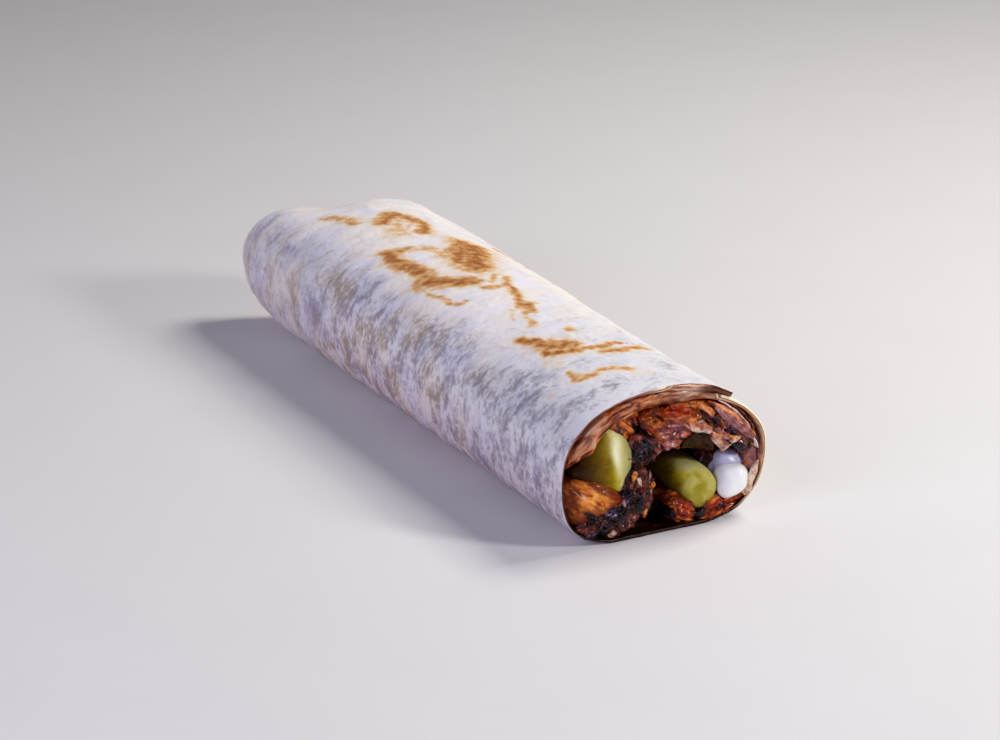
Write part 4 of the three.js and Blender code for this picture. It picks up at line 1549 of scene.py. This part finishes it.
def make_shreds(name, chosen, count, seed, material, length, width):
    """Shreds scattered on the front of the chosen meats: each lies flat on the skin,
    runs roughly along the strands, narrows to its ends and bends off a little."""
    random = np.random.default_rng(seed)
    place = np.linspace(-1.0, 1.0, SHRED_GRID[0])[:, None, None]
    slim = np.sqrt(1.0 - 0.94 * place**2)
    round_it = np.linspace(0, 2 * np.pi, SHRED_GRID[1], endpoint=False)[None, :, None]
    grids = []
    for meat in random.choice(chosen, count):
        grid, normals = meat_skins[meat]
        row, column = random.integers(*FRONT_RINGS), random.integers(grid.shape[1])
        middle, normal = grid[row, column], normals[row, column]
        run = np.array(MEATS[meat][0]) + 0.5 * random.normal(size=3)
        run -= normal * (run @ normal)
        run /= np.linalg.norm(run)
        aside = np.cross(normal, run)
        twisted = round_it + random.uniform(-0.8, 0.8) * place
        size = random.uniform(0.5, 1.0)
        bend = random.normal(0.0, 0.5) * (place**2 - 0.3) + 0.15
        path = middle + run * place * size * length + aside * random.normal(0.0, 0.5) * place**2
        skin = aside * np.cos(twisted) * width * size + normal * (np.sin(twisted) * 0.35 * width + bend)
        shred = path + skin * slim
        shred[..., 2] = np.maximum(shred[..., 2], SHRED_CLEARANCE)
        grids.append(shred)
    piece = skin_with_fans(name, grids)
    flat = all_points(grids)
    each = len(flat) // count
    vary = np.repeat(random.uniform(0.4, 1.3, count), each)
    relief = np.repeat(random.normal(0.0, 0.7, count), each)
    write_fields(piece, relief=relief, strands=flat, **dab_fields(in_sections(flat), vary))
    deliver(piece, None, material)


PALER = [name for name in MEATS if name not in CHARRED]
make_shreds("grilled_shreds", PALER[1:], 80, 71, grilled, 2.0, 0.5)
make_shreds("charred_shreds", list(CHARRED), 140, 72, browned, 1.9, 0.6)
make_shreds("charred_crumbs", list(CHARRED), 420, 73, browned, 0.6, 0.42)

# %% [markdown]
# Some slices and bits are too distinct to leave to chance. A slice is a thin sheet
# hung between an upper edge and a lower one, each drawn as a few points. A bit is a
# small lump. What each one is made of is one of the kinds of dab.

# %% What each slice and bit is like
# Each slice: thickness, bulge, how crusted, creamy and dark its upper and its lower edge
# are, and the two edges themselves: across, depth, up
SLICES = {
    "hanging_slice": (
        0.9, 0, {"shaded": (1, 1.3)},
        ((6.6, 1.8, 25.4), (8.8, 1.4, 27.2), (11.8, 1.2, 27.6), (15, 1.2, 26.4), (17.2, 1.6, 24.4)),
        ((7.4, 5, 22.4), (10.2, 5.4, 22), (13.6, 5.4, 21.2), (16, 5, 20.6), (18, 4.5, 19.8)),
    ),
    "mauve_slice": (
        1, 0.9, {"crusted": (0.8, -0.35)},
        ((14.6, -0.3, 37.2), (18.6, -0.6, 35.2), (22.4, -0.7, 32.3), (26.2, -0.6, 28.6), (29.8, 0, 24.2)),
        ((15.4, 0.1, 35), (18.2, -0.3, 31.6), (21.4, -0.3, 28.2), (24.8, -0.2, 25.4), (29, 0.4, 22.8)),
    ),
    "orange_slice": (
        0.8, 0.4, {"crusted": (1, 0.7)},
        ((9.8, -0.2, 37.2), (12, -0.4, 36.6), (14.6, -0.4, 34.8), (16, 0, 33)),
        ((10.4, 0.6, 36), (11.8, 0.4, 35), (13.4, 0.4, 33.2), (15, 0.8, 31.8)),
    ),
    "fat_edge": (
        0.9, 0.3, {"crusted": (0.9, 0), "creamy": (0.1, 1)},
        ((7.4, 0.6, 31.6), (10.2, 0.2, 30.8), (13.2, 0.1, 30.6), (15.8, 0.4, 28.8)),
        ((8.6, 1.4, 28.6), (10.8, 1.3, 27.8), (13.4, 1.3, 27.4), (15.4, 1.5, 26.4)),
    ),
    "pale_fringe": (
        0.8, 0.3, {"crusted": (0.8, 0.2), "creamy": (0.1, 0.85)},
        ((15, 0.4, 28.2), (17.6, 0, 26.8), (20.4, 0, 26), (23, 0.2, 25.4), (25.8, 0.6, 24.6)),
        ((15.4, 1.4, 25.6), (17.4, 1.6, 23.2), (19.8, 1.8, 20.2), (22, 1.6, 22.4), (25, 1.6, 22.6)),
    ),
    "side_slice": (
        0.9, 0, {"crusted": (0.2, 0), "creamy": (0, 0.25)},
        ((26.8, 7.5, 19), (29, 4.5, 20), (31.2, 1.8, 19.4)),
        ((27.6, 6.5, 9.5), (29.2, 4.2, 8.2), (30.6, 1.6, 9)),
    ),
    "pale_corner": (
        1.1, 0.3, {"crusted": (-0.4, 0), "creamy": (1.3, 1)},
        ((31.2, 1, 16), (30.9, 0.2, 13), (29.8, 0.3, 10), (28.2, -0.1, 7.6), (26.2, 0.6, 5.8)),
        ((31, 1.4, 15.6), (29, 1.2, 12.9), (28.1, 1.5, 10.9), (26.7, 0.8, 9.2), (25.2, 1.6, 7.2)),
    ),
}
# Each bit: its kind and strength, its middle, its half sizes and its tilt in degrees
BITS = (
    ("tan", 0.7, (-4.5, 0.9, 15), (1.5, 1.2, 0.8), 6), ("tan", 0.6, (-6.2, 0.6, 17), (0.5, 1, 2), 24),
    ("red", 0.9, (-7.2, 0.2, 13.6), (0.7, 1, 2), 28),
    ("tan", 0.5, (-10, 0.4, 18.2), (0.5, 0.8, 2), -12),
    # This fat bit is a painted highlight: a white glint, given fat's colour
    ("fat", 0.7, (-8.6, 0.3, 17.6), (0.5, 0.8, 1.5), 8),
    ("fat", 0.5, (-16.6, 0.9, 2.8), (1.5, 1.2, 0.7), 8),
    ("tan", 0.6, (-6.5, 0.5, 7.2), (0.7, 1, 1.5), 8),
    ("red", 0.9, (6.2, 0.2, 5.2), (2.4, 1.2, 1.1), -38),
    ("red", 1, (3.2, 0.8, 35), (3.4, 1.2, 0.9), -6),
    ("tan", 0.45, (-2.6, 0.9, 33.2), (2.6, 1.3, 1.3), -24),
    ("tan", 0.45, (24.6, 0.6, 6.6), (1.5, 1, 0.5), 20),
    ("mauve", 0.9, (23.2, 0.6, 26.2), (3, 1, 0.5), -42),
    ("tan", 0.6, (-24.8, 0.7, 16.4), (3.2, 1.2, 0.7), -30),
    ("tan", 0.6, (-20, 0.4, 12.6), (2.8, 1.2, 0.8), -32),
)


print("slices:", ", ".join(SLICES), "and", len(BITS), "bits")

# %% Thin sheets
# The way the strands of every slice run: across, along and up
SLICED_RUN = (0.75, 0.1, -0.65)


def between_edges(edges, columns=48, rows=22):
    """A sheet's middle: both edges are filled in between their points and softened,
    and rows run from the upper one to the lower one."""
    share = np.linspace(0.0, 1.0, columns)
    filled = []
    for edge in edges:
        places = np.linspace(0.0, 1.0, len(edge))
        nudges = [np.clip(share + nudge, 0.0, 1.0) for nudge in (-0.06, -0.03, 0.0, 0.03, 0.06)]
        lines = [[np.interp(at, places, values) for values in np.transpose(edge)] for at in nudges]
        filled.append(np.mean(lines, axis=0).T)
    return mix(filled[0], filled[1], np.linspace(0.0, 1.0, rows)[:, None, None])


def thickened(middle, thickness):
    """Out along the front face of a sheet and back along its other face. It thins
    to its edges along a rounded curve."""
    normal = np.cross(np.gradient(middle, axis=0), np.gradient(middle, axis=1))
    normal /= np.linalg.norm(normal, axis=-1, keepdims=True)
    rows, columns = middle.shape[:2]
    down = np.linspace(-0.98, 0.98, rows)[:, None, None]
    beside = np.linspace(-0.98, 0.98, columns)[None, :, None]
    half = thickness / 2 * np.sqrt((1.0 - down**4) * (1.0 - beside**8))
    return np.concatenate([middle + normal * half, (middle - normal * half)[:, ::-1]], axis=1)


print("a thin sheet's grid:", thickened(between_edges(SLICES["mauve_slice"][3:]), 1.0).shape[:2])

# %% Slice material
def slice_finish(name, wet):
    """Smooth pink-brown flesh with fine specks: orange where it is crusted, cream where
    it is fat, and dark brown where it is shaded by what lies over it. Wet is how
    strong its film of juice is."""
    finish = Finish(name)
    place = finish.place()
    specks = finish.noise(place, 1300.0, 3.0)
    cloud = finish.noise(place, 330.0, 3.0, 0.4)
    fibre = finish.noise(finish.field_vector("strands"), 0.9, 3.0, 0.4)
    shade = finish.together(fibre, 0.5, cloud, 0.3)
    shade = finish.sum("MULTIPLY_ADD", specks, 0.2, shade)
    colour = finish.ramp(shade, [
        (0.38, (0.13, 0.026, 0.024)), (0.50, (0.34, 0.115, 0.115)), (0.62, (0.60, 0.30, 0.31)),
    ])
    layers = {
        "shaded": [(0.40, (0.010, 0.003, 0.001)), (0.60, (0.075, 0.030, 0.010))],
        "crusted": [(0.38, (0.30, 0.045, 0.010)), (0.50, (0.66, 0.20, 0.055)), (0.62, (0.94, 0.48, 0.24))],
        "creamy": [(0.38, (0.48, 0.26, 0.15)), (0.50, (0.82, 0.57, 0.42)), (0.62, (0.97, 0.83, 0.70))],
    }
    for kind, stops in layers.items():
        share = finish.swayed(finish.field(kind), cloud, 1.1)
        colour = finish.blend(finish.between(share, 0.2, 0.8), colour, finish.ramp(shade, stops))
    height = finish.together(fibre, 0.6, specks, 0.5)
    return finish.set(
        Base_Color=colour, Roughness=finish.between(specks, 0.35, 0.65, 0.22, 0.42),
        Normal=finish.bump(height, 0.30), Specular_IOR_Level=0.05 + 0.20 * wet,
        Coat_Weight=wet, Coat_Roughness=0.06,
        Subsurface_Weight=0.12, Subsurface_Scale=0.002, Subsurface_Radius=(1.0, 0.35, 0.25),
    )


sliced = slice_finish("sliced_meat", 0.34)
shaded = slice_finish("shaded_meat", 0.0)
print("slice materials:", sliced.name, "and", shaded.name)

# %% Slices
def make_slice(name, thickness, bulge, looks, edges, seed, material):
    """A thin slice with hills and torn edges. It bulges to the front half way down."""
    middle = between_edges(edges)
    share = np.linspace(0.0, 1.0, len(middle))[:, None]
    middle[..., 1] -= bulge * 4.0 * share * (1.0 - share)
    middle = warped(middle, 3.4, 0.45, seed)
    middle = warped(middle, 1.5, 0.16, seed + 5)
    sheet = thickened(middle, thickness)
    piece = sheet_mesh(name, from_sections(sheet))
    write_fields(piece, strands=stretched_along(sheet, SLICED_RUN, 6.0))
    for kind in ("shaded", "crusted", "creamy"):
        upper, lower = looks.get(kind, (-1.0, -1.0))
        write_fields(piece, **{kind: np.broadcast_to(mix(upper, lower, share), sheet.shape[:2])})
    deliver(piece, None, material)


for seed, (name, (thickness, bulge, looks, *edges)) in enumerate(SLICES.items()):
    material = shaded if "shaded" in looks else sliced
    make_slice(name, thickness, bulge, looks, edges, 940 + 11 * seed, material)

# %% Bits
BIT_RINGS = 22
BIT_COLUMNS = 32


def make_bits():
    """The small lumps as one piece."""
    grids, kinds = [], []
    for number, (kind, strength, middle, halves, tilt) in enumerate(BITS):
        lump = ball_grid((0.0, 0.0, 0.0), halves, rings=BIT_RINGS, columns=BIT_COLUMNS)
        lump = swollen(lump, 0.45 * rough_hills(lump + 9.0 * number, 1.3, 921, 2))
        across, upward = turned(lump[..., 0], lump[..., 2], tilt)
        grids.append(np.stack([across, lump[..., 1], upward], axis=-1) + np.array(middle))
        kinds.append([strength * (kind == other) for other in DABS])
    piece = skin_with_fans("meat_bits", [from_sections(grid) for grid in grids])
    flat = all_points(grids)
    shares = np.repeat(kinds, len(flat) // len(BITS), axis=0)
    write_fields(
        piece,
        relief=rough_hills(flat, 2.0, 931, 2),
        strands=stretched_along(flat, SLICED_RUN, 5.0),
        **dict(zip(DABS, shares.T)),
    )
    deliver(piece, None, grilled)


make_bits()

# %% [markdown]
# Under the end of the flap the sheet's hidden tail shows its torn layers on the
# right. They are strips of the same bread, one inside the other, and each front edge
# sits back a little differently.

# %% Torn layers
# Each layer: its distance inside the outer one in mm, how far its edge sits back, how
# dark it is with juice and painted shade between the layers, and how pale it is
TAIL_LAYERS = ((0.9, 0.7, 0.70, 0.0), (1.9, 0.0, 0.0, 1.0), (2.9, 0.9, 0.45, 0.0))
STRIP_LENGTH = 8.0
STRIP_THICKNESS = 0.85
TAIL_CURVE = ((18.6, 38.0), (22.6, 35.4), (26.4, 31.8), (29.4, 27.8), (31.4, 23.6), (32.4, 19.6))


def make_tail_layers():
    """Each strip runs along a curve inside the bread and a little back along the roll.
    It takes the bread's own material, with plain numbers in place of its fields."""
    curve = np.array(TAIL_CURVE)
    inwards = np.array([0.0, 20.0]) - curve
    inwards /= np.linalg.norm(inwards, axis=1, keepdims=True)
    for number, (inside, back, soak, paleness) in enumerate(TAIL_LAYERS):
        edges = [
            [(x, depth, z) for x, z in curve + inwards * inside] for depth in (back, back + STRIP_LENGTH)
        ]
        middle = warped(between_edges(edges, columns=90), 3.0, 0.4, 960 + number)
        sheet = from_sections(thickened(middle, STRIP_THICKNESS))
        piece = sheet_mesh(f"tail_layer_{number + 1}", sheet)
        rolled_out = sheet * (1.0, 3.0, 2.0) + 40.0 * number
        write_fields(
            piece, inner=1.0 - 0.3 * paleness, flour=0.7 * paleness, soak=soak,
            band_pale=paleness, rolled_out=rolled_out,
        )
        deliver(piece, None, bread.data.materials[0])


make_tail_layers()

# %% [markdown]
# ## The pickles
#
# A pickled cucumber is cut lengthwise into spears, so each one has pale wet flesh
# with fine streaks along it, and a darker, greener side. Light and shade are painted
# on the flesh. The colours could come from a noise, but the edge between a face in
# painted shade and a face painted lit has its own place, so the mesh stores how far
# each point lies from it, and a painted highlight runs down it. The centre spear's
# end is slimmer than its body, as if pared.

# %% Pickle material
def pickle_finish():
    """Wet flesh with painted light and shade: dark olive far to the left of its edge,
    where that face is painted in shade, yellow close to it, pale to the right of it,
    where the face is painted lit, and olive again deep inside, as painted shade. A
    painted highlight runs down the edge."""
    finish = Finish("pickled_cucumber")
    place = finish.place()
    streaks = finish.noise(finish.field_vector("streaks"), 0.8, 4.0, 0.3)
    cloud = finish.noise(place, 260.0, 3.0, 0.4)
    tone = finish.swayed(finish.field("tone"), cloud, 0.16)
    tone = finish.swayed(tone, streaks, 0.12)
    colour = finish.ramp(tone, [
        (0.02, (0.022, 0.007, 0.001)), (0.20, (0.065, 0.030, 0.001)), (0.38, (0.16, 0.094, 0.001)),
        (0.50, (0.30, 0.21, 0.001)), (0.57, (0.52, 0.43, 0.010)), (0.64, (0.64, 0.58, 0.20)),
        (0.80, (0.40, 0.37, 0.13)), (0.96, (0.25, 0.22, 0.06)),
    ])
    end = finish.ramp(cloud, [
        (0.36, (0.33, 0.27, 0.018)), (0.50, (0.41, 0.35, 0.045)), (0.64, (0.54, 0.48, 0.12)),
    ])
    colour = finish.over("end_face", colour, end)
    # A painted highlight: whitish yellow flesh down the edge, where the key light would glint
    colour = finish.over("streak", colour, (0.95, 0.93, 0.64))
    # Painted shade: the flesh darkens to dark olive deep in the cavity behind the cut
    colour = finish.blend(finish.times(finish.field("depth"), 0.85), colour, (0.10, 0.055, 0.001))
    grain = finish.noise(place, 900.0, 3.0)
    roughness = finish.between(cloud, 0.3, 0.7, 0.18, 0.34)
    return finish.set(
        Base_Color=colour, Roughness=roughness, Normal=finish.bump(grain, 0.10),
        Subsurface_Weight=0.12, Subsurface_Scale=0.003, Subsurface_Radius=(1.0, 0.8, 0.10),
        Specular_IOR_Level=0.06, Coat_Weight=0.05, Coat_Roughness=0.12,
    )


pickle_skin = pickle_finish()
print("pickle material:", pickle_skin.name)

# %% Pickles
def pickle_relief(points, seed):
    """Soft waves, and fine ribs along the spear."""
    ribbed = stretched_along(points, (0.0, 1.0, 0.0), 8.0)
    return 0.20 * rough_hills(points, 6.0, seed, 2) + 0.07 * ridges(ribbed, 1.3, seed + 3, 2)


def pared_tip(name, across, upward, slim_across, slim_up):
    """A spear's rings with the tip drawn in round a middle of its own. The pull fades
    within a few millimetres behind the cut."""
    grid = filling_grid(name)
    points = in_sections(grid)
    middle = np.insert(FILLINGS[name]["at"], 1, 0.0)
    target = np.array([across, 0.0, upward]) + (points - middle) * (slim_across, 1.0, slim_up)
    fading = np.exp(-np.maximum(points[..., 1] - 1.0, 0.0) / 2.2)[..., None]
    return grid + (target - points) * fading * (1.0, 0.0, 1.0)


def make_pickle(name, seed, material, edge, pared=None):
    """A spear with its painted light and shade stored. An edge runs down its face between
    two places, across and up on the cut: its flesh is painted darker to the left of it,
    as shade, and pale to the right, as light. A pared tip has no painted highlight on
    the edge, but an end face of its own."""
    grid = pared_tip(name, *pared) if pared else filling_grid(name)
    points = in_sections(grid)
    normals = grid_normals(grid)
    grid = grid + normals * pickle_relief(points, seed)[..., None]
    piece = skin_with_fans(name.replace("pickle", "gherkin"), [grid])
    start, end = np.array(edge)
    length = np.linalg.norm(end - start)
    run = (end - start) / length
    from_start = points[..., [0, 2]] - start + 0.35 * hills(points, 3.0, seed + 9)[..., None]
    right_of = from_start[..., 1] * run[0] - from_start[..., 0] * run[1]
    passed = (from_start @ run) / length
    half_streak = mix(1.7, 0.7, np.clip(passed, 0.0, 1.0))
    streak = bell(right_of, 0.0, half_streak) * bell(passed, 0.34, 0.36) * fall(3.0, 10.0, points[..., 1])
    write_fields(
        piece,
        tone=with_poles(np.clip((right_of + 12.0) / 20.0, 0.0, 1.0)),
        streak=with_poles(streak * (pared is None)),
        end_face=with_poles(smooth(0.60, 0.85, -normals[..., 1]) * (pared is not None)),
        # depth drives the painted shade deep in the cavity
        depth=with_poles(smooth(2.0, 20.0, points[..., 1])),
        streaks=with_poles(stretched_along(points, (0.0, 1.0, 0.0), 9.0)),
    )
    deliver(piece, name, material)


make_pickle("pickle_left", 501, pickle_skin, ((-16.0, 31.6), (-13.9, 17.0)))
make_pickle("pickle_centre", 511, pickle_skin, ((5.6, 15.6), (13.0, 14.4)), pared=(14.9, 8.1, 0.54, 0.68))

# %% [markdown]
# ## The garlic sauce
#
# Thick yoghurt and garlic, squeezed in a ribbon: smooth lobes that lean on each
# other. A lobe is a ball whose radius swells and shrinks in soft waves.

# %% The lobes, and the slice round the ribbon
# Each lobe: across, depth behind the cut, up, its half sizes, and how much painted lavender shade it takes,
# partly for thinner, watery sauce
LOBES = (
    (23.2, 2.6, 10.8, 5, 4.4, 5.2, 0),
    (23.8, 6.2, 14.6, 3.8, 4.2, 3.9, 0.8),
    (27.6, 7.2, 14, 2.6, 3, 2.4, 1),
)
WRAPPED_RINGS = slice(16, 84)
WRAPPED_COLUMNS = (76, 140)
print("lobes:", len(LOBES))


def wrap_sauce(ribbon):
    """A dark slice of meat lies along the ribbon's left side and over it: a part of
    the ribbon's own skin, moved outwards."""
    columns = np.arange(*WRAPPED_COLUMNS) % ribbon.shape[1]
    part = ribbon[WRAPPED_RINGS, columns]
    outwards = grid_normals(ribbon)[WRAPPED_RINGS, columns]
    outwards[..., 1] = 0.0
    bumps = 0.9 + 0.35 * rough_hills(in_sections(part), 6.0, 631, 2)
    sheet = thickened(part + outwards * bumps[..., None], 0.7)
    piece = sheet_mesh("slice_round_sauce", sheet)
    points = in_sections(sheet)
    write_fields(
        piece,
        relief=1.2 * rough_hills(points, 3.0, 905, 2),
        strands=stretched_along(points, SLICED_RUN, 5.0),
        **{**dict.fromkeys(DABS, 0.0), "char": 0.35, "mauve": 0.2},
    )
    deliver(piece, None, browned)

# %% Sauce material
def sauce_finish():
    """White and glossy, with painted lavender shade, partly thinner watery sauce, on its
    left, on the lobes that lie deeper and on the ribbon behind, and a few green flecks.
    """
    finish = Finish("garlic_sauce")
    cloud = finish.noise(finish.place(), 160.0, 3.0)
    fleck = finish.between(finish.noise(finish.place(), 900.0, 2.0), 0.68, 0.74)
    colour = finish.blend(cloud, (0.96, 0.96, 0.98), (0.99, 0.99, 0.99))
    # Painted lavender shade over the white
    colour = finish.over("watery", colour, (0.43, 0.41, 0.68))
    colour = finish.blend(finish.times(fleck, 0.25), colour, (0.55, 0.55, 0.42))
    grain = finish.noise(finish.place(), 700.0, 2.0)
    return finish.set(
        Base_Color=colour, Roughness=finish.between(cloud, 0.3, 0.7, 0.26, 0.42),
        Normal=finish.bump(grain, 0.05), Subsurface_Weight=0.35, Subsurface_Scale=0.003,
        Subsurface_Radius=(1.0, 0.9, 0.85), Coat_Weight=0.12, Coat_Roughness=0.15,
    )

# %% Sauce
def make_sauce():
    """The ribbon behind, and the lobes in front of it, as one piece."""
    ribbon = filling_grid("garlic_sauce", columns=120)
    ribbon = swollen(ribbon, 0.5 * rough_hills(in_sections(ribbon), 8.0, 601, 2))
    wrap_sauce(ribbon)
    grids = [ribbon]
    watery = [np.ones(len(with_poles(ribbon)))]
    for across, depth, upward, *halves, wateriness in LOBES:
        lobe = ball_grid((across, depth - ROLL_LENGTH / 2, upward), halves)
        swell = 0.9 * hills(in_sections(lobe), 6.5, 611) + 0.22 * hills(in_sections(lobe), 2.8, 612)
        grids.append(swollen(lobe, swell))
        watery.append(np.full(len(with_poles(lobe)), wateriness))
    piece = skin_with_fans("sauce_ribbon", grids)
    flat = all_points(grids)
    # The sauce's left side takes painted lavender shade as well
    left = fall(17.0, 21.5, flat[:, 0]) * smooth(7.0, 13.0, flat[:, 2])
    write_fields(piece, watery=np.maximum(0.55 * left, np.concatenate(watery)))
    deliver(piece, "garlic_sauce", sauce_finish())


make_sauce()
